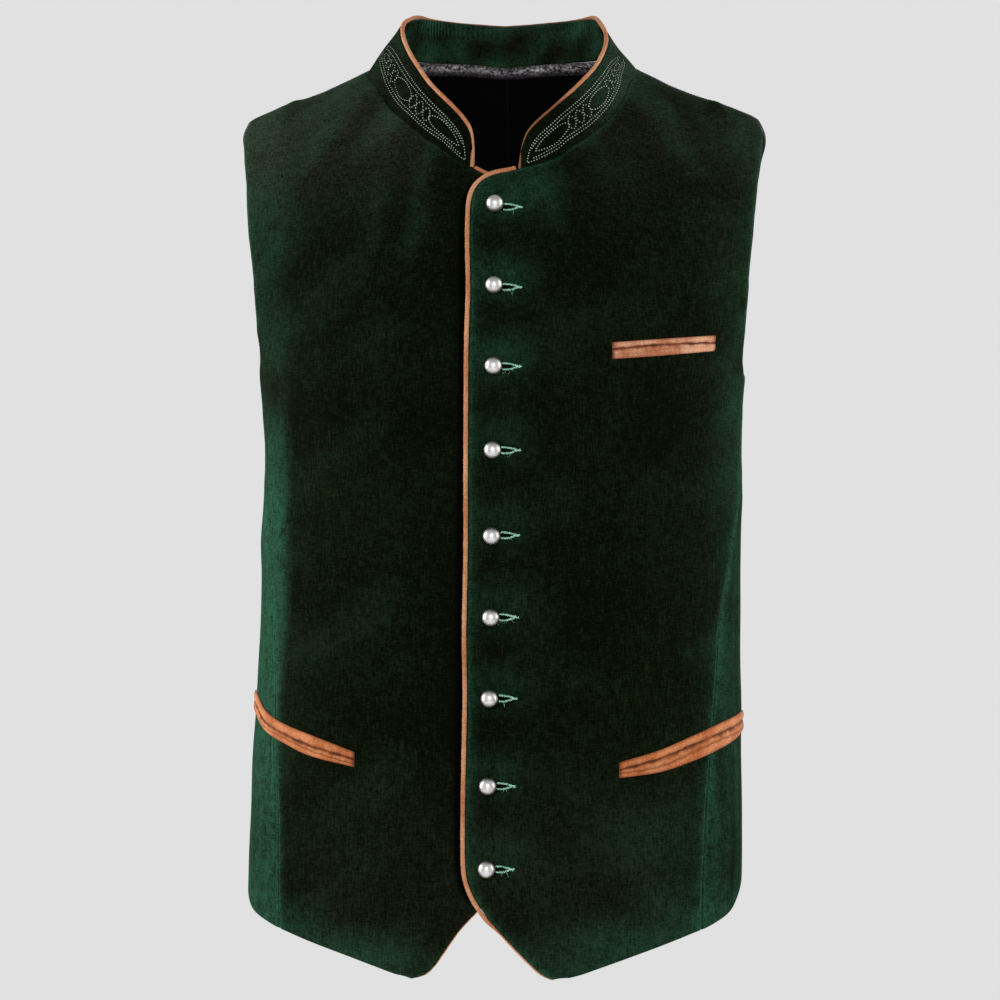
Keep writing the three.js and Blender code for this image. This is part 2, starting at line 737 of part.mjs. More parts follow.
function addPiece(name, geometry, finish) {
  const mesh = new THREE.Mesh(geometry, new THREE.MeshStandardMaterial(MATERIALS[finish]));
  mesh.name = name;
  waistcoat.add(mesh);
}

/** The rim of a front's free edge, from its tip up to the collar. */
function frontRim(side, places) {
  const rows = FRONT_ROWS.slice(1, 5).reduce((sum, row) => sum + row.rows, 0);
  return places.slice(0, rows + 1).map(([place, beside]) => {
    const { point, normal } = clothSpot(side, place.turn, place.z);
    const inward = clothSpot(side, beside.turn, beside.z).point.sub(point).normalize();
    return { point, normal, inward };
  });
}

/** A rim that ends sooner by a length, to leave room for its neighbour. */
function shortened(rim, length) {
  const kept = rim.slice(0, -1);
  const last = rim[rim.length - 1];
  const before = kept[kept.length - 1];
  const share = 1 - length / last.point.distanceTo(before.point);
  return [...kept, { ...last, point: before.point.clone().lerp(last.point, share) }];
}

/** Piping along the free edge of a front. */
function frontPiping(side, places) {
  const depth = side > 0 ? PIPING.leftDepth : PIPING.rightDepth;
  const rim = shortened(frontRim(side, places), COLLAR_PIPING.width + 3 * SEAM_GAP);
  return cord(rimStations(rim, PIPING.width, depth), PIPING);
}

const leftFront = frontPlaces(1);
const rightFront = frontPlaces(-1);
const leftBack = backPlaces(1);
const rightBack = backPlaces(-1);

const leftFrontCloth = BUTTONS.reduce(
  (shape, button) => shape.subtract(buttonholeCutter(button)),
  toKernel(clothWall(1, leftFront)),
);
addPiece("front_left", fromKernel(leftFrontCloth), "velvet");
addPiece("front_right", clothWall(-1, rightFront), "velvet");
addPiece("side_left", clothWall(1, sidePlaces(1)), "velvet");
addPiece("side_right", clothWall(-1, sidePlaces(-1)), "velvet");
addPiece("back_left", clothWall(1, leftBack), "satin");
addPiece("back_right", clothWall(-1, rightBack), "satin");
addPiece("piping_front_left", frontPiping(1, leftFront), "suede");
addPiece("piping_front_right", frontPiping(-1, rightFront), "suede");

// Collar

const collarTopTurn = curve(COLLAR_EDGE, "turn", "top");
const collarTopHeight = {
  left: curve(COLLAR_EDGE, "turn", "left"),
  right: curve(COLLAR_EDGE, "turn", "right"),
};

/** A point of the collar's upper edge above one place of the neckline. */
function collarTop(turn) {
  const above = collarTopTurn(Math.abs(turn));
  const depth = above < 90 ? COLLAR_TOP.front : COLLAR_TOP.back;
  const height = turn > 0 ? collarTopHeight.left : collarTopHeight.right;
  const spread = Math.sin(radians(above));
  return new THREE.Vector3(
    spread * (turn > 0 ? COLLAR_TOP.leftHalf : -COLLAR_TOP.rightHalf),
    -depth * Math.cos(radians(above)),
    height(Math.abs(turn)),
  );
}

/** Places where the collar is sewn on, from one front end round to the other. */
function collarPlaces() {
  const neckRows = (places, table) => {
    const rows = table[table.length - 1].rows;
    return places.slice(-rows - 1).map(([place]) => place);
  };
  const half = (front, back) => {
    const seamed = neckRows(back, BACK_ROWS).reverse();
    return [...neckRows(front, FRONT_ROWS), ...seamed.slice(1, -1)];
  };
  const right = half(rightFront, rightBack);
  const left = half(leftFront, leftBack).reverse();
  return [...right, { turn: 180, z: neckHeight.left(180) }, ...left];
}

/** How far the piping has rolled from the rim of the collar onto its outer face. */
const cordRoll = (turn) => smooth(Math.abs(turn), COLLAR_CORD_ROLL.from, COLLAR_CORD_ROLL.to);

/** Outer points of the collar, row by row from the neckline up. */
function collarPoints() {
  const places = collarPlaces();
  return Array.from({ length: COLLAR_ROWS + 1 }, (_, j) => {
    const share = j / COLLAR_ROWS;
    return places.map(({ turn, z }) => {
      const side = Math.sign(turn);
      const foot = clothSpot(side, turn, z).point;
      const top = collarTop(turn);
      const up = top.clone().sub(foot).normalize();
      const under = (COLLAR_PIPING.width / 2 + SEAM_GAP) * (1 - cordRoll(turn));
      foot.addScaledVector(up, SEAM_GAP);
      top.addScaledVector(up, -under);
      const round = new THREE.Vector3(foot.x, foot.y, 0).normalize();
      const swell = COLLAR_SWELL * Math.sin(Math.PI * share);
      return foot.lerp(top, share).addScaledVector(round, swell);
    });
  });
}

/** Unit normals of a grid of points that runs round to the left and upwards. */
function gridNormals(points) {
  const rows = points.length - 1;
  const columns = points[0].length - 1;
  return points.map((row, j) =>
    row.map((_, i) => {
      const east = points[j][Math.min(i + 1, columns)];
      const west = points[j][Math.max(i - 1, 0)];
      const north = points[Math.min(j + 1, rows)][i];
      const south = points[Math.max(j - 1, 0)][i];
      const across = east.clone().sub(west);
      return north.clone().sub(south).cross(across).normalize();
    }),
  );
}

const collarOuter = collarPoints();
const collarNormals = gridNormals(collarOuter);
const collarInner = collarOuter.map((row, j) =>
  row.map((point, i) => point.clone().addScaledVector(collarNormals[j][i], -COLLAR_CLOTH)),
);
addPiece("collar", wall(collarOuter, collarInner), "velvet");

/** The rim of the collar: up one front end, round the top, down the other end. */
function collarRim() {
  const last = collarOuter[0].length - 1;
  const turns = collarPlaces().map((place) => place.turn);
  const spot = (j, i, besideJ, besideI) => {
    const point = collarOuter[j][i];
    const inward = collarOuter[besideJ][besideI].clone().sub(point).normalize();
    return { point, normal: collarNormals[j][i], inward, roll: cordRoll(turns[i]) };
  };
  const rows = Array.from({ length: COLLAR_ROWS }, (_, j) => j);
  const rise = rows.map((j) => spot(j, 0, j, 1));
  const round = collarOuter[0].map((_, i) => spot(COLLAR_ROWS, i, COLLAR_ROWS - 1, i));
  const fall = rows.reverse().map((j) => spot(j, last, j, last - 1));
  return [...rise, ...round, ...fall];
}

/** Moves a cord from the middle of the rim round its outer corner, as its roll says. */
function rolledStations(rim) {
  const close = COLLAR_PIPING.width / 2 + SEAM_GAP;
  const half = COLLAR_CLOTH / 2;
  return rimStations(rim, COLLAR_PIPING.width, -half).map((station, i) => {
    const { roll } = rim[i];
    const { out, normal } = station;
    const away = close + COLLAR_PIPING.clearance * Math.sin(Math.PI * Math.sqrt(roll));
    const corner = station.centre.clone().addScaledVector(normal, half);
    corner.addScaledVector(out, -close);
    const angle = smooth(roll, 0.2, 0.8) * (Math.PI / 2);
    const before = half * (1 - smooth(roll, 0, 0.3));
    const after = COLLAR_PIPING.lowered * smooth(roll, 0.7, 1);
    const centre = corner.addScaledVector(out, away * Math.cos(angle) - after);
    centre.addScaledVector(normal, away * Math.sin(angle) - before);
    return { centre, out, normal };
  });
}

addPiece("piping_collar", cord(rolledStations(collarRim()), COLLAR_PIPING), "suede");

// Tape inside the back of the neck

const tapePlaces = [TAPE.bottom, TAPE.top].map((drop) =>
  Array.from({ length: TAPE.columns + 1 }, (_, i) => {
    const turn = TAPE.fromTurn + ((360 - 2 * TAPE.fromTurn) * i) / TAPE.columns;
    return { turn, z: neckHeight.left(180 - Math.abs(180 - turn)) - drop };
  }),
);
addPiece("neck_tape", clothWall(1, tapePlaces, TAPE_CLOTH, -CLOTH - TAPE.inside), "satin");

// Pocket edgings

/** One strip of a pocket edging, rounded across, on the cloth of its side. */
function welt(side, table, upper, lower, upperInset, lowerInset) {
  const first = table[0].turn;
  const last = table[table.length - 1].turn;
  const top = curve(table, "turn", upper);
  const bottom = curve(table, "turn", lower);
  const grid = (lifts) =>
    lifts.map((lift, j) =>
      Array.from({ length: WELT_COLUMNS + 1 }, (_, i) => {
        const turn = mix(first, last, i / WELT_COLUMNS);
        const high = top(turn) - upperInset;
        const low = bottom(turn) + lowerInset;
        const z = mix(low, high, j / (lifts.length - 1));
        return clothSpot(side, side * turn, z, lift).point;
      }),
    );
  const { seat, edge, crown } = WELT;
  return wall(grid([edge, crown, edge]), grid([seat, seat, seat]));
}

function pocket(name, side, table) {
  const inset = SEAM_GAP / 2;
  addPiece(name + "_upper", welt(side, table, "above", "slit", 0, inset), "suede");
  addPiece(name + "_lower", welt(side, table, "slit", "below", inset, 0), "suede");
}

pocket("welt_breast", 1, BREAST_POCKET);
pocket("welt_left", 1, LEFT_POCKET);
pocket("welt_right", -1, RIGHT_POCKET);

// Buttons

/** A ball with a shank, turned about its own axis from its foot outwards. */
function buttonGeometry() {
  const { ball, shank, steps, sides, foot, clearance } = BUTTON;
  const middle = OVERLAP.leftLift + clearance + ball;
  const start = Math.asin(shank / ball);
  const profile = [new THREE.Vector2(0, foot), new THREE.Vector2(shank, foot)];
  for (let i = 0; i <= steps; i += 1) {
    const angle = mix(start, Math.PI, i / steps);
    const radius = i === steps ? 0 : ball * Math.sin(angle);
    profile.push(new THREE.Vector2(radius, middle - ball * Math.cos(angle)));
  }
  const turned = new THREE.LatheGeometry(profile, sides);
  return turned.rotateX(Math.PI / 2);
}

BUTTONS.forEach((button, i) => {
  const { foot, turned } = buttonFrame(button);
  const geometry = buttonGeometry().applyQuaternion(turned);
  geometry.translate(foot.x, foot.y, foot.z);
  addPiece("button_" + (i + 1), geometry, "metal");
});

export default waistcoat;
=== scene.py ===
"""A green velvet folk-dress waistcoat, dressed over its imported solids.

Sizes of the garment are in millimetres and become metres only where a mesh is handed
to Blender. A place on the cloth is a turn round the body in degrees (0 at the closing,
90 at the wearer's left side, 180 at the back, negative on the right) and a height.
"""

import logging
import math
from dataclasses import dataclass
from enum import Enum
from typing import ClassVar, NamedTuple, Sequence, Union

import bpy
import numpy as np
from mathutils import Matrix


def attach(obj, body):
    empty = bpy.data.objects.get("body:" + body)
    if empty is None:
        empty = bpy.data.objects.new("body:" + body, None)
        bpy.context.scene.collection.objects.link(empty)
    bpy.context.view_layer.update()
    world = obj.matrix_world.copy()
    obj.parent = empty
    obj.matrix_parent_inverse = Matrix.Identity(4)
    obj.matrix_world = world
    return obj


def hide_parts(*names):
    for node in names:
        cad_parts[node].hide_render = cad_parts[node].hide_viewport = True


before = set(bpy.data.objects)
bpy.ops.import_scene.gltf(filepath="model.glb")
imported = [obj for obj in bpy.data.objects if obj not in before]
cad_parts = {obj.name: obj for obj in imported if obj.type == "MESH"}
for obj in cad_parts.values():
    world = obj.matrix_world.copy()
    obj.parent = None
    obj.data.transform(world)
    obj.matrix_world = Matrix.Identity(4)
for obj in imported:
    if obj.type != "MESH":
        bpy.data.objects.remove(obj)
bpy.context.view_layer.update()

LOG = logging.getLogger("waistcoat")

Array = np.ndarray
Colour = tuple[float, float, float, float]
Number = Union[float, Array]

MILLIMETRE = 0.001
SEAM_GAP = 0.3
CLOTH = 2.0
COLLAR_CLOTH = 3.0
COLLAR_SWELL = 1.6
SHOULDER_TURN = 87.0
SIDE_SEAM_TURN = 101.0
UNDERARM_DIP = 7.0
SUEDE_WALL = 0.7
TURNED_HEM = 0.9
SEWN_EDGE = 0.22
RIM_PILE = 0.35
FINER = 4


class Side(Enum):
    """The wearer's two sides, as the sign of x."""

    LEFT = 1
    RIGHT = -1

    @property
    def label(self) -> str:
        """The word for this side in piece names."""
        return "left" if self is Side.LEFT else "right"


class Slot(Enum):
    """Material slots of the record."""

    VELVET = "velvet"
    SATIN = "satin"
    TAPE = "tape"
    SUEDE = "suede"
    METAL = "button_metal"


class Hold(Enum):
    """How a piece of cloth is held."""

    HUNG = "hung"
    LAID = "laid"
    FOLDED = "folded"


class Section(NamedTuple):
    """One level section of the body: half width, depths, squareness and shift."""

    z: float
    half: float
    front: float
    back: float
    square_front: float
    square_back: float
    shift: float


class Place(NamedTuple):
    """A place on the body surface."""

    turn: float
    z: float


class EdgePoint(NamedTuple):
    """A point of a free edge, seen from the front."""

    x: float
    z: float


class NeckPoint(NamedTuple):
    """Height of the neckline at one turn, on the wearer's right and left."""

    turn: float
    right: float
    left: float


class CollarPoint(NamedTuple):
    """The collar's upper edge over one turn of the neckline."""

    turn: float
    top: float
    right: float
    left: float


class WeltPoint(NamedTuple):
    """Heights of a pocket's edging at one turn."""

    turn: float
    above: float
    slit: float
    below: float


class Fold(NamedTuple):
    """A soft fold: where it starts and ends, its reach and its rise."""

    turn: float
    z: float
    to_turn: float
    to_z: float
    reach: float
    rise: float


class Patch(NamedTuple):
    """A patch of pile: its middle, its reach both ways and its strength; a negative strength is painted
    shade, a positive one pales the pile, partly brushing and partly painted light.
    """

    turn: float
    z: float
    reach: float
    tall: float
    strength: float


class Row(NamedTuple):
    """A level of a panel on its inner border and on its side, and the rows up to it."""

    at: str
    edge: float
    side: float
    rows: int


class LeafPoint(NamedTuple):
    """The ornament's lower and upper edge at one share of its length."""

    along: float
    low: float
    high: float


class Light(NamedTuple):
    """A soft box of the studio, in metres and watts."""

    name: str
    place: tuple[float, float, float]
    size: tuple[float, float]
    power: float


def table(kind: type, *rows: tuple) -> tuple:
    """Rows of a table whose columns have the names of its kind."""
    return tuple(kind(*row) for row in rows)


SECTIONS = table(
    Section,
    (18, 70, 16, 49, 2.2, 2.2, 0), (10, 83, 20, 57, 2.2, 2.2, 0), (0, 104, 29, 67, 2.2, 2.2, 0),
    (-14, 135, 39, 76, 2.2, 2.2, 0), (-26, 167, 47, 83, 2.2, 2.2, 0),
    (-38, 192, 56, 89, 2.2, 2.2, 0), (-56, 198, 69, 97, 2.25, 2.2, 0),
    (-100, 200, 93, 109, 2.3, 2.3, 0), (-160, 193, 107, 117, 2.35, 2.3, 0),
    (-220, 182.5, 115, 117, 2.4, 2.3, 0), (-300, 178.3, 116, 106, 2.55, 2.3, 0),
    (-400, 179.2, 109, 95, 2.65, 2.3, -1.6), (-520, 182.6, 107, 99, 2.7, 2.4, -4.4),
    (-620, 184.3, 109, 105, 2.7, 2.4, -6.1), (-700, 184.6, 110, 108, 2.7, 2.4, -6.4),
)
HEM = table(
    Place,
    (0, -669), (24, -668.5), (30, -666), (38, -659.5), (50, -648), (60, -638), (68, -630.5),
    (75, -623), (81, -613), (87, -605), (96, -602), (140, -605), (180, -609),
)
FRONT_SEAM = table(
    Place,
    (64, -640), (65.2, -560), (67, -500), (68.8, -440), (71.2, -390), (75, -350), (80, -310),
    (84, -260), (86, -200),
)
ARMHOLE_FRONT = table(
    Place,
    (84.6, -228), (80.5, -216), (78.4, -186), (77.3, -150), (77.8, -120), (79.8, -91), (84.4, -60),
    (SHOULDER_TURN, -45),
)
ARMHOLE_BACK = table(
    Place,
    (SIDE_SEAM_TURN, -229), (105, -212), (108.5, -180), (110, -145), (108, -110), (100, -74),
    (92, -53), (SHOULDER_TURN, -45),
)
NECKLINE = table(
    NeckPoint,
    (11, -78.5, -79.3), (20, -72.2, -75.8), (29, -64, -70), (38, -56.2, -61.6), (48, -46, -51.2),
    (57, -35.2, -39.4), (66, -22.8, -25.4), (75, -10.5, -10.5), (82, -3, -3),
    (SHOULDER_TURN, 1.5, 1.5), (98, 6.5, 6.5), (115, 11, 11), (140, 11.5, 11.5), (180, 9, 9),
)
COLLAR_END = {Side.RIGHT: 14.6, Side.LEFT: 11.6}
LEFT_EDGE = table(
    EdgePoint,
    (40.5, -668.2), (34.5, -665.8), (26, -658.6), (15.6, -648.2), (5.4, -637.4), (-5, -625.6),
    (-12.5, -615), (-18.4, -604), (-21.8, -592), (-22.5, -575), (-22.2, -529), (-21, -469),
    (-21.4, -414), (-20, -344), (-18.7, -176), (-19.6, -125), (-19.2, -106), (-17.4, -97),
    (-13.8, -91), (-7.8, -86), (-2, -83.7), (9.5, -81.6),
)
RIGHT_EDGE = table(
    EdgePoint,
    (-61, -668), (-53.5, -666), (-46.4, -660.4), (-37.8, -648.2), (-26.4, -632.2), (-14.4, -619.6),
    (-4.5, -608.5), (2, -599), (6.5, -588), (8.6, -572), (9.6, -500), (11.4, -380), (13.2, -240),
    (14, -120), (13, -103), (9, -93), (2, -87), (-8, -83.2),
)
FRONT_ROWS = table(
    Row,
    ("lower edge", 0, 0, 0), ("foot of the closing", 0.15, 0.12, 5), ("underarm", 0.73, 1, 9),
    ("armhole", 0.93, 1.3, 5), ("front end of the collar", 1, 1.55, 5), ("shoulder", 2, 2, 7),
)
BACK_ROWS = table(
    Row,
    ("lower edge", 0, 0, 0), ("level of the closing's foot", 0.12, 0.12, 5),
    ("underarm", 0.6, 1, 9), ("below the collar", 0.94, 1.38, 4),
    ("middle of the collar", 1, 1.5, 4), ("shoulder", 2, 2, 6),
)
SEAM_ROWS = FRONT_ROWS[1].rows + FRONT_ROWS[2].rows
COLLAR_EDGE = table(
    CollarPoint,
    (11, 11.4, -66, -64.5), (14, 13.4, -61, -56.5), (17, 15.4, -50, -50.5),
    (22, 19.2, -41.5, -44.2), (31, 26.8, -30.8, -35.2), (40, 34.5, -22, -26.8),
    (50, 43, -12.5, -18.5), (60, 53, 0, -8.5), (70, 64, 12.5, 2), (80, 75, 24, 13.5),
    (90, 87, 34, 24.5), (105, 106, 41.5, 36.5), (120, 122, 43.8, 43), (150, 151, 41.2, 41.2),
    (180, 180, 38.8, 38.8),
)
BUTTONS = table(
    EdgePoint,
    (-1.4, -108), (-1.4, -166.8), (-1.5, -224.3), (-2.1, -284.9), (-2.9, -346.2), (-3.7, -405.8),
    (-4.7, -464.6), (-6, -528.2), (-6.8, -588.4),
)
BREAST_POCKET = table(
    WeltPoint,
    (38.2, -207, -212, -218.9), (50, -204.4, -208.4, -216.4), (66, -200.6, -206, -211.9),
)
LEFT_POCKET = table(
    WeltPoint,
    (43, -511.5, -516.9, -522.7), (52.5, -503.5, -509.4, -519.2), (62.4, -491.9, -498.4, -510.4),
    (71.6, -483.4, -490.4, -501.6), (82, -478.6, -485.4, -494.2), (86, -477.4, -484, -492.4),
)
RIGHT_POCKET = table(
    WeltPoint,
    (45.4, -504.6, -509.6, -515.4), (56.7, -492.8, -500.6, -508), (64.2, -485.6, -492.7, -499.4),
    (71, -477.6, -485, -491.6), (78, -466.8, -474, -480.6), (84, -462.6, -469.8, -476.4),
)
FOLDS = table(
    Fold,
    (70, -14, 62, -70, 11, 2.4), (76, -24, 68, -74, 9, -2.2), (82, -30, 74, -86, 12, 1.8),
    (-66, -12, -60, -62, 12, -3), (-73, -18, -64, -78, 11, 2.6), (-82, -30, -70, -80, 12, 2),
    (34, -76, 26, -112, 9, -1.4), (43, -66, 34, -116, 8, 1.5), (-31, -72, -25, -124, 7, 1.3),
    (-41, -60, -34, -132, 8, -1.7), (-51, -48, -42, -138, 9, 1.5), (80, -236, 60, -262, 15, -1.6),
    (-80, -246, -58, -282, 16, -1.8), (84, -318, 54, -336, 17, 1.5),
    (-84, -352, -58, -378, 18, 1.7), (112, -200, 140, -258, 18, 2.2),
    (-110, -214, -142, -286, 20, 2.4), (104, -372, 150, -396, 20, 2.6),
    (-106, -350, -150, -384, 18, 2.2), (150, -30, 168, -130, 16, -2),
    (-152, -36, -164, -150, 18, -1.8),
)
CREASES = table(
    Fold,
    (-79.5, -12, -72, -38, 4.2, 1.5), (-76.5, -9, -67, -44, 3.6, -1.2),
    (-84, -24, -79, -40, 4.5, 1.5), (-80, -24, -75, -44, 3.4, -1.1), (84, -26, 79, -42, 4.0, 1.2),
    (86.5, -38, 83, -62, 5.0, -1.0), (36, -64, 27, -92, 5.5, 1.1), (31, -68, 24, -104, 5.0, -0.9),
    (-33, -62, -25, -96, 6.0, 0.9), (76, -182, 73, -216, 7.0, -1.3),
    (-77, -196, -71, -232, 8.0, 1.2), (72, -408, 60, -426, 10.0, -0.9),
    (-71, -430, -58, -452, 11.0, 1.0), (90, -300, 99, -344, 8.0, 0.6),
    (-90, -288, -99, -330, 9.0, -1.2), (93, -420, 98, -470, 8.0, -1.1),
    (-92, -440, -98, -500, 9.0, 1.2), (106, -250, 128, -274, 9.0, -1.4),
    (-106, -262, -132, -296, 10.0, 1.3), (108, -408, 138, -422, 9.0, 1.5),
    (-110, -396, -144, -414, 10.0, -1.4), (122, -340, 166, -352, 11.0, -1.6),
    (-118, -318, -160, -338, 12.0, 1.7), (140, -24, 156, -92, 8.0, 1.2),
    (-138, -22, -150, -84, 7.0, -1.2), (113, -140, 130, -176, 9.0, 1.4),
    (-112, -132, -134, -170, 10.0, -1.3), (170, -180, 174, -330, 10.0, 1.0),
    (-168, -200, -173, -300, 9.0, -0.9), (128, -560, 134, -604, 10.0, 1.2),
    (-142, -552, -146, -604, 11.0, 1.1), (52, -622, 47, -648, 12.0, 0.9),
    (-46, -628, -42, -655, 11.0, -0.8),
)
# Negative patches are painted shade; positive patches pale the pile, partly brushing and partly painted
# light.
PATCHES = table(
    Patch,
    (-70, -120, 16, 60, 0.10), (-78, -560, 12, 70, 0.05), (-46, -652, 22, 16, 0.16),
    (-12, -560, 10, 120, -0.22), (-14, -330, 12, 160, -0.20), (-12, -150, 9, 60, -0.14),
    (18, -92, 9, 15, 0.22), (44, -330, 18, 130, -0.14), (38, -640, 18, 16, 0.18),
    (58, -590, 20, 60, 0.12), (84, -340, 6, 90, 0.10),
)

LEAF = table(
    LeafPoint,
    (0, 0.12, 0.12), (0.012, 0.11, 0.36), (0.05, 0.12, 0.60), (0.12, 0.15, 0.70), (0.28, 0.18, 0.76),
    (0.5, 0.20, 0.79), (0.7, 0.25, 0.80), (0.86, 0.36, 0.79), (0.95, 0.46, 0.74), (1.0, 0.56, 0.62),
)
LIGHTS = table(
    Light,
    ("light_front", (0.20, -2.7, 0.25), (0.8, 0.8), 28),
    ("light_left_edge", (-2.1, 0.15, 0.1), (0.7, 1.8), 46),
    ("light_right_edge", (2.1, 0.25, 0.15), (0.6, 1.8), 30),
    ("light_low", (0.1, -1.7, -1.5), (1.2, 0.4), 9),
    ("light_back", (0.2, 2.4, 0.9), (1.6, 1.0), 18),
)


class Curve:
    """A smooth curve through a table of values that never overshoots them."""

    def __init__(self, at: Sequence[float], values: Sequence[float]) -> None:
        """Stores the table in rising order and works out its slopes.

        Args:
            at: positions of the rows.
            values: values of the rows.
        """
        order = np.argsort(at)
        self.at = np.asarray(at, float)[order]
        self.values = np.asarray(values, float)[order]
        steps = np.diff(self.values) / np.diff(self.at)
        product = steps[:-1] * steps[1:]
        total = np.where(product > 0, steps[:-1] + steps[1:], 1.0)
        inner = np.where(product > 0, 2 * product / total, 0.0)
        self.slopes = np.concatenate([steps[:1], inner, steps[-1:]])

    def __call__(self, at: Number) -> Array:
        """The value at one or many positions.

        Args:
            at: where the curve is read.

        Returns:
            The values there.
        """
        want = np.clip(np.asarray(at, float), self.at[0], self.at[-1])
        i = np.clip(np.searchsorted(self.at, want, "right") - 1, 0, len(self.at) - 2)
        span = self.at[i + 1] - self.at[i]
        t = (want - self.at[i]) / span
        rise = self.values[i + 1] - self.values[i]
        bend = t * (1 - t) * span
        ease = t * t * (3 - 2 * t)
        lean = self.slopes[i] * (1 - t) - self.slopes[i + 1] * t
        return self.values[i] + rise * ease + bend * lean


def curves(rows: Sequence[tuple]) -> list["Curve"]:
    """One curve over a table's first column for each of its other columns."""
    columns = list(zip(*rows))
    return [Curve(columns[0], column) for column in columns[1:]]


def unit(vectors: Array) -> Array:
    """The vectors at length one."""
    length = np.linalg.norm(vectors, axis=-1, keepdims=True)
    return vectors / np.maximum(length, 1e-9)


def smoothstep(value: Number, low: float, high: float) -> Array:
    """0 below low, 1 above high, and a soft step between them."""
    t = np.clip((np.asarray(value, float) - low) / (high - low), 0, 1)
    return t * t * (3 - 2 * t)


def dots(a: Array, b: Array) -> Array:
    """Dot products of two arrays of vectors."""
    return np.sum(a * b, axis=-1)


def walked(points: Array) -> Array:
    """Running length along a line of points."""
    steps = np.linalg.norm(np.diff(points, axis=0), axis=1)
    return np.concatenate([[0.0], np.cumsum(steps)])


def bell(away: Number, reach: float) -> Array:
    """1 where away is 0, fading to nothing past the reach."""
    return np.exp(-((np.asarray(away) / reach) ** 2))


class BodyForm:
    """The torso that the cloth is worn on, as level sections that blend."""

    def __init__(self, sections: Sequence[Section]) -> None:
        """Reads one curve for each size of the sections."""
        self.half, self.front, self.back, *others = curves(sections)
        self.square_front, self.square_back, self.shift = others

    def point(self, turn: Number, z: Number) -> Array:
        """Points of the plain body surface.

        Args:
            turn: turns round the body.
            z: heights.

        Returns:
            An array of points with a last axis of three.
        """
        turn, z = np.broadcast_arrays(np.asarray(turn, float), np.asarray(z, float))
        sine = np.sin(np.radians(turn))
        cosine = np.cos(np.radians(turn))
        facing = cosine > 0
        depth = np.where(facing, self.front(z), self.back(z))
        power = np.where(facing, self.square_front(z), self.square_back(z))
        across = (np.abs(sine) / self.half(z)) ** power
        along = (np.abs(cosine) / depth) ** power
        radius = (across + along) ** (-1 / power)
        return np.stack([self.shift(z) + radius * sine, -radius * cosine, z], axis=-1)

    def normal(self, turn: Number, z: Number) -> Array:
        """Unit vectors out of the body surface.

        Args:
            turn: turns round the body.
            z: heights.

        Returns:
            Vectors along a last axis of three.
        """
        turn, z = np.broadcast_arrays(np.asarray(turn, float), np.asarray(z, float))
        across = self.point(turn + 0.5, z) - self.point(turn - 0.5, z)
        up = self.point(turn, z + 1) - self.point(turn, z - 1)
        return unit(np.cross(across, up))

    def turn_at(self, x: Number, z: Number) -> Array:
        """The turn of the point of the front that lies at x.

        Args:
            x: distances to the wearer's left.
            z: heights.

        Returns:
            The turns in degrees.
        """
        across = np.asarray(x, float) - self.shift(z)
        power = self.square_front(z)
        share = np.minimum(np.abs(across) / self.half(z), 1)
        depth = self.front(z) * (1 - share**power) ** (1 / power)
        return np.degrees(np.arctan2(across, depth))


@dataclass(frozen=True)
class Overlap:
    """How the two fronts lie on each other at the closing."""

    left_lift: float = 1.3
    right_lift: float = -1.3
    flat_to: float = 13.0
    gone_at: float = 34.0

    def lift(self, side: Side, turn: Array) -> Array:
        """How far a front is moved off the body at each turn."""
        lift = self.left_lift if side is Side.LEFT else self.right_lift
        return lift * (1 - smoothstep(side.value * turn, self.flat_to, self.gone_at))


class ClothForm:
    """The outer face of the worn cloth: the body surface with its folds."""

    WAVES = 16
    WAVE_RISE = 0.16

    def __init__(self, body: BodyForm, overlap: Overlap) -> None:
        """Keeps the body and lays out slow waves that no fold table names.

        Args:
            body: the plain torso.
            overlap: how the fronts lie on each other.
        """
        self.body = body
        self.overlap = overlap
        chance = np.random.default_rng(41)
        length = chance.uniform(38, 130, self.WAVES)
        self.waves = unit(chance.normal(size=(self.WAVES, 3))) * (2 * math.pi / length)[:, None]
        self.phases = chance.uniform(0, 2 * math.pi, self.WAVES)

    def _fold_rise(self, points: Array, folds: Sequence[Fold]) -> Array:
        """Height of a table of folds at points of the body surface.

        Args:
            points: points of the body surface.
            folds: the table.

        Returns:
            A height for each point.
        """
        total = np.zeros(points.shape[:-1])
        for fold in folds:
            start = self.body.point(fold.turn, fold.z)
            run = self.body.point(fold.to_turn, fold.to_z) - start
            reached = points - start
            share = np.clip(reached @ run / (run @ run), 0, 1)
            away = np.linalg.norm(reached - share[..., None] * run, axis=-1) / fold.reach
            total += fold.rise * (1 - 0.55 * share) * np.exp(-away * away)
        return total

    def rise(self, turn: Array, z: Array) -> Array:
        """Height of folds, creases and slow waves over the body surface.

        Args:
            turn: turns round the body.
            z: heights.

        Returns:
            How far the cloth stands out at each place.
        """
        points = self.body.point(turn, z)
        total = self._fold_rise(points, FOLDS) + self._fold_rise(points, CREASES)
        total += self.WAVE_RISE * np.sin(points @ self.waves.T + self.phases).sum(axis=-1)
        return total * smoothstep(np.abs(turn), 12, 26)

    def spot(self, side: Side, turn: Number, z: Number, lift: Number = 0.0) -> tuple[Array, Array]:
        """Points of the outer face of the cloth, and the body's normals there.

        Args:
            side: the wearer's side that the cloth belongs to.
            turn: turns round the body.
            z: heights.
            lift: distance off the cloth.

        Returns:
            The points and the unit normals.
        """
        turn, z = np.broadcast_arrays(np.asarray(turn, float), np.asarray(z, float))
        normal = self.body.normal(turn, z)
        closing = np.where(np.abs(turn) < SHOULDER_TURN, self.overlap.lift(side, turn), 0)
        rise = self.rise(turn, z) + closing + lift
        return self.body.point(turn, z) + normal * rise[..., None], normal


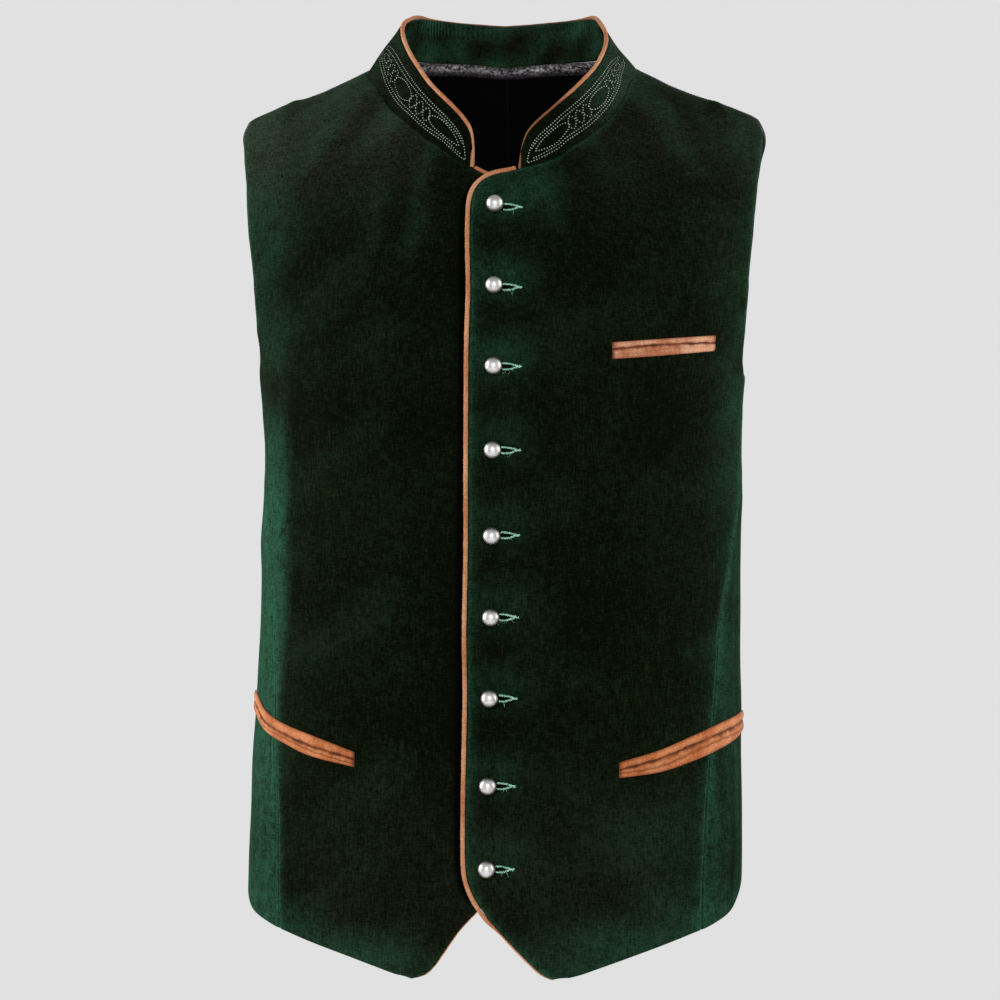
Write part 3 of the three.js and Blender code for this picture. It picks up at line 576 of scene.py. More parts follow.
class Border:
    """A line of places on the body that is walked by its share of length."""

    def __init__(self, body: BodyForm, turn: Array, z: Array) -> None:
        """Measures the line."""
        self.turn, self.z = np.asarray(turn, float), np.asarray(z, float)
        self.reach = walked(body.point(self.turn, self.z))

    def at(self, share: Number) -> tuple[Array, Array]:
        """Turns and heights at shares of the length."""
        want = np.clip(share, 0, 1) * self.reach[-1]
        return np.interp(want, self.reach, self.turn), np.interp(want, self.reach, self.z)


class Cutting:
    """Lays out the borders and grids of the garment's panels."""

    def __init__(self, cloth: ClothForm) -> None:
        """Reads the seams, edges and neckline as curves.

        Args:
            cloth: the worn cloth that the panels are cut from.
        """
        self.cloth = cloth
        self.body = cloth.body
        self.hem = curves(HEM)[0]
        self.front_seam_turn = Curve([p.z for p in FRONT_SEAM], [p.turn for p in FRONT_SEAM])
        self.neck = dict(zip((Side.RIGHT, Side.LEFT), curves(NECKLINE)))

    def smooth(self, turn: Array, z: Array, steps: int) -> tuple[Array, Array]:
        """Many places along a table of places, smoothed by its running length.

        Args:
            turn: turns of the table.
            z: its heights.
            steps: how many steps are walked.

        Returns:
            Turns and heights.
        """
        reach = walked(self.body.point(turn, z))
        want = np.linspace(0, reach[-1], steps + 1)
        return Curve(reach, turn)(want), Curve(reach, z)(want)

    def free_edge(self, side: Side) -> Border:
        """The free edge of a front from its lower tip to the collar.

        Args:
            side: the wearer's side.

        Returns:
            The edge.
        """
        x, z = np.array(LEFT_EDGE if side is Side.LEFT else RIGHT_EDGE, float).T
        turn, z = self.smooth(self.body.turn_at(x, z), z, 240)
        end = side.value * COLLAR_END[side]
        return Border(self.body, np.append(turn, end), np.append(z, self.neck[side](abs(end))))

    def front_seam(self, side: Side) -> Border:
        """The seam between a front and its side panel."""
        z = np.linspace(self.hem(64.0), ARMHOLE_FRONT[0].z, 81)
        return Border(self.body, side.value * self.front_seam_turn(z), z)

    def side_seam(self, side: Side) -> Border:
        """The seam between a side panel and the back."""
        z = np.linspace(self.hem(SIDE_SEAM_TURN), ARMHOLE_BACK[0].z, 81)
        return Border(self.body, np.full_like(z, side.value * SIDE_SEAM_TURN), z)

    def armhole(self, side: Side, half: Sequence[Place]) -> Border:
        """One half of an armhole, up to the shoulder."""
        turn, z = self.smooth(*np.array(half, float).T, 120)
        return Border(self.body, side.value * turn, z)

    def neckline(self, side: Side, start: float, end: float) -> Border:
        """The neckline of one side between two turns."""
        turn = np.linspace(start, end, 91)
        return Border(self.body, side.value * turn, self.neck[side](turn))

    def nudge(self, turn: Array, z: Array, distance: Number) -> Array:
        """Turns moved sideways along the surface by a distance."""
        radius = np.linalg.norm(self.body.point(turn, z)[..., :2], axis=-1)
        return turn + np.degrees(distance / radius)

    def grid(
        self, first: tuple[Array, Array], last: tuple[Array, Array], across: Array
    ) -> tuple[Array, Array]:
        """A grid of places between two borders, with its lower edge on the hem.

        Args:
            first: turns and heights on the first border, row by row.
            last: turns and heights on the last border.
            across: shares of the way across, from 0 to 1.

        Returns:
            Turns and heights of the grid.
        """
        turn = first[0][:, None] * (1 - across) + last[0][:, None] * across
        z = first[1][:, None] * (1 - across) + last[1][:, None] * across
        low = first[1][0] * (1 - across) + last[1][0] * across
        bow = self.hem(np.abs(turn[0])) - low
        ends = np.minimum(1, 8 * np.minimum(across, 1 - across))
        up = np.linspace(0, 1, len(turn))[:, None]
        return turn, z + bow * ends * (1 - up) ** 3


def shares(table: Sequence[Row], finer: int) -> tuple[Array, Array]:
    """Row positions on the two borders of a panel.

    Args:
        table: the named levels.
        finer: how many rows stand for one row of the solid.

    Returns:
        Shares along the inner border and along the side.
    """
    edge = [0.0]
    side = [0.0]
    for before, level in zip(table, table[1:]):
        count = level.rows * finer
        for k in range(1, count + 1):
            edge.append(before.edge + (level.edge - before.edge) * k / count)
            side.append(before.side + (level.side - before.side) * k / count)
    return np.array(edge), np.array(side)


def walk(first: Border, second: Border, share: Array) -> tuple[Array, Array]:
    """Places on two borders in a row: the second one starts at share 1.

    Args:
        first: the border walked first.
        second: the border that follows it.
        share: shares from 0 to 2.

    Returns:
        The turns and the heights.
    """
    turn_a, z_a = first.at(np.minimum(share, 1))
    turn_b, z_b = second.at(np.maximum(share - 1, 0))
    return np.where(share <= 1, turn_a, turn_b), np.where(share <= 1, z_a, z_b)


def columns_across(width: float, step: float) -> Array:
    """Shares across a panel, close together beside both seams.

    Args:
        width: the panel's width.
        step: the widest gap between two columns.

    Returns:
        Shares from 0 to 1.
    """
    near = np.array([0, 0.5, 1.1, 1.9, 2.9, 4.2, 6.0]) / width
    count = max(int((width - 12) / step), 2)
    middle = np.linspace(near[-1], 1 - near[-1], count + 1)
    return np.concatenate([near[:-1], middle, 1 - near[:-1][::-1]])


# Meshes


@dataclass
class MeshData:
    """Points in millimetres and faces, with a layer number for each face."""

    points: Array
    faces: list
    layers: Array

    def faced_out(self) -> "MeshData":
        """The same mesh with its faces turned outwards.

        Returns:
            This mesh.
        """
        volume = 0.0
        for face in self.faces:
            corners = self.points[np.asarray(face)]
            for k in range(1, corners.shape[1] - 1):
                turned = np.cross(corners[:, k], corners[:, k + 1])
                volume += dots(corners[:, 0], turned).sum()
        if volume < 0:
            self.faces = [np.asarray(face)[:, ::-1] for face in self.faces]
        return self

    def around(self, core: "MeshData") -> "MeshData":
        """This skin with a core hollowed out of it, as a folded strip has."""
        core.faces = [np.asarray(face)[:, ::-1] for face in core.faces]
        return joined([self, core])


def joined(meshes: Sequence["MeshData"]) -> "MeshData":
    """One mesh of several.

    Args:
        meshes: the meshes, in order.

    Returns:
        The joined mesh.
    """
    starts = np.cumsum([0] + [len(mesh.points) for mesh in meshes])
    faces = [np.asarray(face) + start for mesh, start in zip(meshes, starts) for face in mesh.faces]
    points = np.concatenate([mesh.points for mesh in meshes])
    return MeshData(points, faces, np.concatenate([mesh.layers for mesh in meshes]))


def bands(ids: Array) -> Array:
    """Four-sided faces between closed rings of point numbers."""
    ahead = np.roll(ids, -1, axis=1)
    return np.stack([ids[:-1], ahead[:-1], ahead[1:], ids[1:]], axis=-1).reshape(-1, 4)


def ringed(rings: Array) -> "MeshData":
    """A closed skin over rings of points, with flat ends.

    Args:
        rings: the points, ring by ring.

    Returns:
        The mesh.
    """
    ids = np.arange(rings.shape[0] * rings.shape[1]).reshape(rings.shape[:2])
    faces = [bands(ids), np.stack([ids[0][::-1], ids[-1]])]
    layers = np.zeros(len(faces[0]) + 2, int)
    return MeshData(rings.reshape(-1, 3), faces, layers).faced_out()


def build_object(
    name: str, mesh: MeshData, finishes: Sequence["Finish"], **fields: Array
) -> bpy.types.Object:
    """Makes a smooth-shaded object at the origin, in metres.

    Args:
        name: the name of the object.
        mesh: its points and faces.
        finishes: its finishes, by layer.
        **fields: values for each point, kept as named attributes.

    Returns:
        The new object, linked to the scene.
    """
    data = bpy.data.meshes.new(name)
    faces = [face for group in mesh.faces for face in np.asarray(group).tolist()]
    data.from_pydata((mesh.points * MILLIMETRE).tolist(), [], faces)
    for finish in finishes:
        data.materials.append(finish.material)
    data.polygons.foreach_set("material_index", np.asarray(mesh.layers, np.int32))
    data.polygons.foreach_set("use_smooth", np.ones(len(faces), bool))
    for field_name, values in fields.items():
        layer = data.attributes.new(field_name, "FLOAT", "POINT")
        layer.data.foreach_set("value", np.asarray(values, np.float32).ravel())
    data.update()
    made = bpy.data.objects.new(name, data)
    bpy.context.scene.collection.objects.link(made)
    return made


@dataclass
class Lips:
    """How far the turned edge stands past each border of a wall."""

    low: Number = 0.22
    high: Number = 0.22
    first: Number = 0.22
    last: Number = 0.22


def wall_mesh(outer: Array, inner: Array, lips: Lips, rings: int = 4) -> MeshData:
    """A closed wall between two grids of points, with rounded edges.

    Args:
        outer: the grid of the outer face.
        inner: the grid of the inner face.
        lips: how far each edge bulges.
        rings: points round an edge.

    Returns:
        The mesh, whose layer 0 is the outside and the edges, and layer 1 the inside.
    """
    rows, columns = outer.shape[:2]
    grid = np.arange(rows * columns).reshape(rows, columns)
    corners = [grid[:-1, :-1], grid[:-1, 1:], grid[1:, 1:], grid[1:, :-1]]
    outside = np.stack(corners, axis=-1).reshape(-1, 4)
    inside = outside[:, ::-1] + rows * columns
    j, i = np.divmod(grid, columns)
    loop = np.concatenate([grid[0, :-1], grid[:-1, -1], grid[-1, :0:-1], grid[:0:-1, 0]])
    bulge = np.concatenate(
        [
            np.broadcast_to(lips.low, columns)[:-1],
            np.broadcast_to(lips.last, rows)[:-1],
            np.broadcast_to(lips.high, columns)[:0:-1],
            np.broadcast_to(lips.first, rows)[:0:-1],
        ]
    )
    near = np.clip(j, 1, rows - 2) * columns + np.clip(i, 1, columns - 2)
    flat_out = outer.reshape(-1, 3)
    flat_in = inner.reshape(-1, 3)
    middle = (flat_out + flat_in) / 2
    half = (flat_out - flat_in)[loop] / 2
    out = middle[loop] - middle[near.ravel()[loop]]
    out -= half * (dots(out, half) / np.maximum(dots(half, half), 1e-9))[:, None]
    out = unit(out) * bulge[:, None]
    points = [flat_out, flat_in]
    ring_ids = [loop]
    for k in range(1, rings + 1):
        angle = math.pi * k / (rings + 1)
        points.append(middle[loop] + half * math.cos(angle) + out * math.sin(angle))
        start = 2 * rows * columns + (k - 1) * len(loop)
        ring_ids.append(start + np.arange(len(loop)))
    ring_ids.append(loop + rows * columns)
    edges = []
    for upper, lower in zip(ring_ids, ring_ids[1:]):
        ahead = np.roll(upper, -1)
        below = np.roll(lower, -1)
        edges.append(np.stack([ahead, upper, lower, below], axis=-1))
    faces = [outside, np.concatenate(edges), inside]
    layers = np.concatenate([np.full(len(face), 0) for face in faces[:2]] + [np.full(len(inside), 1)])
    return MeshData(np.concatenate(points), faces, layers).faced_out()


def cord_mesh(centre: Array, out: Array, normal: Array, width: Array, height: Array, sides: int) -> MeshData:
    """A cord with an oval section and rounded ends along a row of stations.

    Args:
        centre: the middle of each station.
        out: the direction of the section's width.
        normal: the direction of its height.
        width: the width at each station.
        height: the height at each station.
        sides: points round the section.

    Returns:
        The mesh of the cord.
    """
    along = unit(np.gradient(centre, axis=0))
    angle = (np.arange(sides) + 0.5) / sides * 2 * math.pi
    caps = [(0.93, 0.25), (0.72, 0.42), (0.38, 0.5)]
    stations = [(0, scale, -reach * width[0] * 0.6) for scale, reach in reversed(caps)]
    stations += [(k, 1, 0) for k in range(len(centre))]
    stations += [(-1, scale, reach * width[-1] * 0.6) for scale, reach in caps]
    rings = []
    for k, scale, shift in stations:
        wide = out[k] * (width[k] / 2 * scale)
        high = normal[k] * (height[k] / 2 * scale)
        middle = centre[k] + along[k] * shift
        rings.append(middle + np.outer(np.cos(angle), wide) + np.outer(np.sin(angle), high))
    return ringed(np.array(rings))


def stitch_mesh(centre: Array, along: Array, normal: Array, length: Number, radius: Number) -> MeshData:
    """Many short stitches, each a thread that dips into the cloth at both ends.

    Args:
        centre: the middle of each stitch.
        along: the direction of each stitch.
        normal: the way out of the cloth.
        length: the length of the stitches.
        radius: the radius of the thread.

    Returns:
        One mesh with every stitch.
    """
    count, sides = len(centre), 6
    length = np.broadcast_to(length, count)
    radius = np.broadcast_to(radius, count)
    along = unit(along - normal * dots(along, normal)[:, None])
    beside = np.cross(normal, along)
    angle = np.arange(sides) / sides * 2 * math.pi
    half = ((0.5, 0.3), (0.43, 0.75), (0.24, 1.0))
    stations = [(-at, thick) for at, thick in half] + [(0, 1.05)] + list(reversed(half))
    rings = []
    for at, scale in stations:
        lift = (0.55 - 4.2 * at * at) * radius
        middle = centre + along * (at * length)[:, None] + normal * lift[:, None]
        wide = (radius * scale)[:, None, None] * np.cos(angle)[None, :, None]
        high = (radius * scale)[:, None, None] * np.sin(angle)[None, :, None]
        rings.append(middle[:, None] + beside[:, None] * wide + normal[:, None] * high)
    ids = np.arange(len(stations) * sides).reshape(-1, sides)
    shift = (np.arange(count) * ids.size)[:, None, None]
    ends = np.stack([ids[0][::-1], ids[-1]])
    faces = [(bands(ids) + shift).reshape(-1, 4), (ends + shift).reshape(-1, sides)]
    layers = np.zeros(sum(len(face) for face in faces), int)
    return MeshData(np.stack(rings, axis=1).reshape(-1, 3), faces, layers).faced_out()


def smoothed(values: Array, reach: int) -> Array:
    """A running mean along the first axis that keeps both ends.

    Args:
        values: the values.
        reach: how many neighbours on each side count.

    Returns:
        The smoother values.
    """
    padded = np.concatenate([np.repeat(values[:1], reach, 0), values, np.repeat(values[-1:], reach, 0)])
    total = sum(padded[k : k + len(values)] for k in range(2 * reach + 1))
    made = total / (2 * reach + 1)
    made[0], made[-1] = values[0], values[-1]
    return made


def spread(mesh: MeshData, values: Array, edges: float, inside: Number) -> Array:
    """Values of the outer grid given to every point of a wall.

    Args:
        mesh: the wall.
        values: values on its outer grid.
        edges: the value on its edges.
        inside: the values on its inner grid.

    Returns:
        One value for each point.
    """
    full = np.full(len(mesh.points), float(edges))
    full[: values.size] = values.ravel()
    full[values.size : 2 * values.size] = np.broadcast_to(inside, values.shape).ravel()
    return full


def spaced(points: Array, pitch: float) -> tuple[Array, Array]:
    """Positions along a line of points at an even pitch.

    Args:
        points: the line.
        pitch: distance between positions.

    Returns:
        Fractional indices into the line, and the unit directions there.
    """
    reach = walked(points)
    want = np.arange(pitch / 2, reach[-1], pitch)
    index = np.interp(want, reach, np.arange(len(points)))
    return index, unit(picked(unit(np.gradient(points, axis=0)), index))


def picked(values: Array, index: Array) -> Array:
    """Values of a line at fractional indices."""
    at = np.arange(len(values))
    return np.stack([np.interp(index, at, values[:, k]) for k in range(values.shape[1])], axis=-1)


def stitch_row(points: Array, normal: Array, pitch: float) -> tuple[Array, Array, Array, Array]:
    """One row of stitches along a line on the cloth.

    Args:
        points: the line.
        normal: the way out of the cloth along it.
        pitch: distance between stitches.

    Returns:
        Middles, directions, normals and fractional indices of the stitches.
    """
    index, along = spaced(points, pitch)
    return picked(points, index), along, unit(picked(normal, index)), index


# Shaders


class Signal:
    """One number that changes over a surface, with the sums a shader needs."""

    def __init__(self, graph: "Graph", socket: bpy.types.NodeSocket) -> None:
        """Keeps the socket and the graph that it belongs to."""
        self.graph = graph
        self.socket = socket

    def _math(self, operation: str, *values: Union["Signal", float]) -> "Signal":
        """A Math node on some values."""
        inputs = dict(enumerate(values))
        return self.graph.node("ShaderNodeMath", {"operation": operation}, inputs)["Value"]

    def __add__(self, other: Union["Signal", float]) -> "Signal":
        """This plus other."""
        return self._math("ADD", self, other)

    __radd__ = __add__

    def __sub__(self, other: Union["Signal", float]) -> "Signal":
        """This minus other."""
        return self._math("SUBTRACT", self, other)

    def __rsub__(self, other: Union["Signal", float]) -> "Signal":
        """Other minus this."""
        return self._math("SUBTRACT", other, self)

    def __mul__(self, other: Union["Signal", float]) -> "Signal":
        """This times other."""
        return self._math("MULTIPLY", self, other)

    __rmul__ = __mul__

    def clamped(self) -> "Signal":
        """This held between 0 and 1."""
        return self._math("MINIMUM", self._math("MAXIMUM", self, 0.0), 1.0)

    def step(self, low: float, high: float) -> "Signal":
        """A soft step from 0 at low to 1 at high."""
        inputs = {"Value": self, "From Min": low, "From Max": high}
        return self.graph.node("ShaderNodeMapRange", {"interpolation_type": "SMOOTHSTEP"}, inputs)["Result"]


class Node:
    """A made node whose outputs are read by name."""

    def __init__(self, graph: "Graph", node: bpy.types.Node) -> None:
        """Keeps the node."""
        self.graph = graph
        self.node = node

    def __getitem__(self, name: Union[str, int]) -> Signal:
        """One of the node's outputs."""
        return Signal(self.graph, self.node.outputs[name])


class Graph:
    """The node tree of one material."""

    def __init__(self, name: str, family: str = "materials") -> None:
        """Starts an empty material, or a world where the family is worlds.

        Args:
            name: its name.
            family: the family of Blender's data that it joins.
        """
        self.owner = getattr(bpy.data, family).new(name)
        self.owner.use_nodes = True
        self.tree = self.owner.node_tree
        self.tree.nodes.clear()

    def node(self, kind: str, settings: dict, inputs: dict) -> Node:
        """Adds a node.

        Args:
            kind: the node's type.
            settings: properties, set before anything else.
            inputs: values or signals by socket name or number.

        Returns:
            The new node.
        """
        made = self.tree.nodes.new(kind)
        for key, value in settings.items():
            setattr(made, key, value)
        for key, value in inputs.items():
            if isinstance(value, Signal):
                self.tree.links.new(value.socket, made.inputs[key])
            else:
                made.inputs[key].default_value = value
        return Node(self, made)

    def position(self) -> Signal:
        """The surface point in metres."""
        return self.node("ShaderNodeTexCoord", {}, {})["Object"]

    def field(self, name: str) -> Signal:
        """A value painted on the mesh."""
        return self.node("ShaderNodeAttribute", {"attribute_name": name}, {})["Fac"]

    def stretched(self, scale: tuple[float, float, float]) -> Signal:
        """The surface point with each axis scaled."""
        inputs = {0: self.position(), 1: scale}
        return self.node("ShaderNodeVectorMath", {"operation": "MULTIPLY"}, inputs)["Vector"]

    def noise(self, scale: float, detail: float = 2.0, at: Union[Signal, None] = None) -> Signal:
        """Soft noise of about one bump in 1 / scale metres."""
        inputs = {"Vector": at or self.position(), "Scale": scale, "Detail": detail}
        return self.node("ShaderNodeTexNoise", {}, inputs)["Fac"]

    def mix(self, share: Union[Signal, float], a: object, b: object) -> Signal:
        """A colour between a and b."""
        inputs = {0: share, 6: a, 7: b}
        return self.node("ShaderNodeMix", {"data_type": "RGBA"}, inputs)[2]

    def bump(self, height: Signal, strength: float, distance: float) -> Signal:
        """A normal bent by a height."""
        inputs = {"Height": height, "Strength": strength, "Distance": distance}
        return self.node("ShaderNodeBump", {}, inputs)["Normal"]

    def finish(self, inputs: dict) -> bpy.types.Material:
        """Ends the material in one principled surface.

        Args:
            inputs: values or signals of its sockets.

        Returns:
            The material.
        """
        surface = self.node("ShaderNodeBsdfPrincipled", {}, inputs)["BSDF"]
        self.node("ShaderNodeOutputMaterial", {}, {"Surface": surface})
        return self.owner


@dataclass(frozen=True)
class VelvetFinish:
    """Short cotton pile, dark face on and paler green in brush marks, with sheen, highlights and shadow
    painted into its colour.
    """

    name: str = "velvet_green"
    deep: Colour = (0.0022, 0.0032, 0.0009, 1)
    lit: Colour = (0.0070, 0.0124, 0.0044, 1)
    # Paler green of brushing and of painted sheen.
    brushed: Colour = (0.0225, 0.0960, 0.0530, 1)
    greyed: Colour = (0.0400, 0.0440, 0.0310, 1)
    worn: Colour = (0.0400, 0.0600, 0.0330, 1)
    painted_shadow: Colour = (0.0007, 0.0009, 0.0005, 1)
    sheen: Colour = (0.40, 0.90, 0.60, 1)
    sheen_weight: float = 0.018

    def material(self) -> bpy.types.Material:
        """Builds the pile, its brush marks, the shader's sheen, and the sheen, highlights and shadow painted
        into its colour.

        Returns:
            The material.
        """
        g = Graph(self.name)
        # One field carries brushing of the pile and painted light: painted sheen, painted highlights, painted
        # light and shade on folds, and below zero painted shadow.
        brushed = g.field("brushed")
        pile = g.noise(1500, 2)
        tufts = g.noise(640, 2)
        marks = g.noise(120, 3)
        drift = g.noise(15, 3)
        warp = g.noise(820, 1, g.stretched((1.0, 1.0, 0.16)))
        weft = g.noise(820, 1, g.stretched((0.2, 0.2, 1.0)))
        weave = warp * 0.55 + weft * 0.45
        mask = 0.30 + (drift - 0.5) * 1.2 + (marks - 0.5) * 0.55
        mask = mask + (tufts - 0.5) * 2.0 + (weave - 0.5) * 2.5
        colour = g.mix((mask + brushed * 0.5).clamped(), self.deep, self.lit)
        speck = (pile * 0.5 + weave * 0.5).step(0.52, 0.72)
        colour = g.mix(speck * (0.16 + brushed * 0.5).clamped(), colour, self.worn)
        # Paler green from brushing of the pile and from painted sheen and highlights.
        uneven = 0.62 + (marks - 0.5) * 0.9 + (tufts - 0.5) * 1.3 + (weave - 0.5) * 1.4
        raised = (brushed * uneven).clamped()
        colour = g.mix(raised, colour, self.brushed)
        # Painted grey sheen.
        grey_sheen_mask = g.field("greyed") * (0.5 + (tufts - 0.5) * 1.4 + (weave - 0.5) * 1.6)
        colour = g.mix(grey_sheen_mask.clamped(), colour, self.greyed)
        # Painted shadow where the field falls far below zero.
        colour = g.mix(((brushed + 0.55) * -2.2).clamped(), colour, self.painted_shadow)
        height = pile * 0.5 + tufts * 0.35 + marks * 0.3
        return g.finish(
            {
                "Base Color": colour,
                "Roughness": 0.78 + tufts * 0.2,
                "Specular IOR Level": 0.02,
                "Sheen Weight": self.sheen_weight,
                "Sheen Roughness": 0.38,
                "Sheen Tint": self.sheen,
                "Normal": g.bump(height, 0.5, 0.0005),
            }
        )


@dataclass(frozen=True)
class SatinFinish:
    """Smooth lining satin with fine threads and soft crumples."""

    name: str
    dark: Colour
    light: Colour
    roughness: float = 0.42
    fuzz: float = 0.7
    gloss: float = 0.35
    sheen: float = 0.08
    by_field: float = 0.0

    def material(self) -> bpy.types.Material:
        """Builds the thread lines and the uneven gloss.

        Returns:
            The material.
        """
        g = Graph(self.name)
        threads = g.noise(900, 2, g.stretched((1.0, 1.0, 0.06)))
        crossed = g.noise(1600, 1, g.stretched((0.3, 0.3, 1.0)))
        crumple = g.noise(70, 4)
        fluff = g.noise(420, 3)
        mask = 0.35 + (crumple - 0.5) * 1.1 + (threads - 0.5) * 0.7
        mask = mask + (fluff - 0.5) * self.fuzz
        # With by_field set, the painted light of the lit field scales the tone.
        mask = (mask * (g.field("lit") * self.by_field + (1 - self.by_field))).clamped()
        height = threads * 0.1 + crossed * 0.06 + crumple * 1.1
        return g.finish(
            {
                "Base Color": g.mix(mask, self.dark, self.light),
                "Roughness": self.roughness + (crumple - 0.5) * 0.2,
                "Specular IOR Level": self.gloss,
                "Anisotropic": 0.35,
                "Sheen Weight": self.sheen,
                "Sheen Roughness": 0.3,
                "Normal": g.bump(height, 0.4, 0.002),
            }
        )


@dataclass(frozen=True)
class SuedeFinish:
    """Brushed tan leather, blotched and rubbed paler in places."""

    name: str
    deep: Colour
    tan: Colour
    rubbed: Colour
    # The dark brown of painted shade.
    shade_brown: Colour = (0.055, 0.014, 0.005, 1)

    def material(self) -> bpy.types.Material:
        """Builds the nap, the blotches, the rubbed patches and the painted shade.

        Returns:
            The material.
        """
        g = Graph(self.name)
        worn = g.field("worn")
        nap = g.noise(2600, 3)
        grain = g.noise(900, 2)
        blotch = g.noise(190, 3)
        mask = 0.5 + (blotch - 0.5) * 1.5 + (grain - 0.5) * 2.6 + (nap - 0.5) * 1.2
        mask = mask.clamped()
        colour = g.mix(mask, self.deep, self.tan)
        colour = g.mix((worn * (grain * 2.6 + blotch * 0.9 - 0.75)).clamped(), colour, self.rubbed)
        # Painted shade in slits, along edges and on the piping.
        painted_shade = g.field("painted_shade") * (0.3 + grain * 1.4)
        colour = g.mix(painted_shade.clamped(), colour, self.shade_brown)
        return g.finish(
            {
                "Base Color": colour,
                "Roughness": 0.82 + nap * 0.15,
                "Specular IOR Level": 0.2,
                "Sheen Weight": 0.15,
                "Sheen Roughness": 0.5,
                "Sheen Tint": (1.0, 0.78, 0.6, 1),
                "Normal": g.bump(nap * 0.4 + grain * 0.6, 0.45, 0.0004),
            }
        )


@dataclass(frozen=True)
class ThreadFinish:
    """Twisted sewing thread."""

    name: str
    colour: Colour
    shade: Colour

    def material(self) -> bpy.types.Material:
        """Builds the twist and its paler and darker strands.

        Returns:
            The material.
        """
        g = Graph(self.name)
        strand = g.noise(2400, 2)
        patch = g.noise(160, 2)
        mask = ((strand - 0.5) * 1.2 + (patch - 0.5) * 1.4 + 0.5).clamped()
        return g.finish(
            {
                "Base Color": g.mix(mask, self.shade, self.colour),
                "Roughness": 0.5 + (strand - 0.5) * 0.2,
                "Sheen Weight": 0.2,
                "Normal": g.bump(strand, 0.4, 0.0002),
            }
        )


@dataclass(frozen=True)
class MetalFinish:
    """Satin silver-coloured metal, darkened round the button's rim as a painted reflection of dark
    surroundings.
    """

    name: str = "button_silver"
    bright: Colour = (0.78, 0.765, 0.75, 1)
    tarnish: Colour = (0.22, 0.205, 0.19, 1)

    def material(self) -> bpy.types.Material:
        """Builds the satin grain and the painted dark rim.

        Returns:
            The material.
        """
        g = Graph(self.name)
        haze = g.noise(240, 3)
        grain = g.noise(2200, 2)
        # The painted dark rim stands in for the reflection of dark surroundings.
        mask = (0.95 + (haze - 0.5) * 0.5 - g.field("tarnished") * 0.95).clamped()
        return g.finish(
            {
                "Base Color": g.mix(mask, self.tarnish, self.bright),
                "Metallic": 1.0,
                "Roughness": 0.47 + (haze - 0.5) * 0.1,
                "Normal": g.bump(grain, 0.03, 0.0001),
            }
        )


@dataclass(frozen=True)
class FloorFinish:
    """Plain pale studio floor."""

    name: str = "studio_floor"
    pale: Colour = (0.80, 0.80, 0.80, 1)

    def material(self) -> bpy.types.Material:
        """Builds a floor with the faintest mottling.

        Returns:
            The material.
        """
        g = Graph(self.name)
        mottle = g.noise(3, 2)
        return g.finish(
            {
                "Base Color": g.mix(mottle * 0.2, self.pale, (0.77, 0.77, 0.77, 1)),
                "Roughness": 0.9,
                "Specular IOR Level": 0.1,
            }
        )


class Finish(Enum):
    """Every finish of the garment and the studio."""

    VELVET = VelvetFinish()
    SATIN = SatinFinish("satin_plum", (0.0008, 0.0007, 0.0010, 1), (0.0060, 0.0052, 0.0075, 1))
    # The lining is the plum satin made darker and duller, as painted shade inside the garment.
    LINING = SatinFinish(
        "satin_lining",
        (0.0003, 0.0003, 0.0004, 1),
        (0.0018, 0.0016, 0.0022, 1),
        roughness=0.65,
        gloss=0.05,
        sheen=0.0,
    )
    TAPE = SatinFinish(
        "satin_tape",
        (0.008, 0.005, 0.009, 1),
        (0.95, 0.90, 0.93, 1),
        roughness=0.5,
        fuzz=2.9,
        gloss=0.3,
        sheen=0.2,
        by_field=1.0,
    )
    SUEDE = SuedeFinish(
        "suede_tan", (0.32, 0.074, 0.018, 1), (0.50, 0.152, 0.046, 1), (0.61, 0.235, 0.095, 1)
    )
    ROSY_SUEDE = SuedeFinish(
        "suede_rosy", (0.34, 0.100, 0.045, 1), (0.50, 0.185, 0.090, 1), (0.66, 0.34, 0.20, 1)
    )
    PIPING = SuedeFinish(
        "suede_piping", (0.37, 0.110, 0.040, 1), (0.55, 0.217, 0.093, 1), (0.64, 0.32, 0.17, 1)
    )
    MINT = ThreadFinish("thread_mint", (0.46, 0.76, 0.60, 1), (0.13, 0.45, 0.30, 1))
    PALE_THREAD = ThreadFinish("thread_pale", (0.76, 0.82, 0.76, 1), (0.50, 0.62, 0.54, 1))
    GREEN_THREAD = ThreadFinish("thread_green", (0.008, 0.026, 0.014, 1), (0.003, 0.010, 0.005, 1))
    METAL = MetalFinish()
    FLOOR = FloorFinish()

    @property
    def material(self) -> bpy.types.Material:
        """The finish's material, built the first time that a piece asks for it."""
        return bpy.data.materials.get(self.value.name) or self.value.material()


def dress(piece: bpy.types.Object, slot: Slot, *nodes: str) -> bpy.types.Object:
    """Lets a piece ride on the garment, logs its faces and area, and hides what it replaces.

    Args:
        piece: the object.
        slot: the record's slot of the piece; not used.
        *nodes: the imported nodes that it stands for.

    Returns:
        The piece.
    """
    if nodes:
        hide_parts(*nodes)
    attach(piece, "root")
    area = sum(face.area for face in piece.data.polygons) / 2
    LOG.info("%s: %d faces, %.5f square metres", piece.name, len(piece.data.polygons), area)
    return piece


# Panels


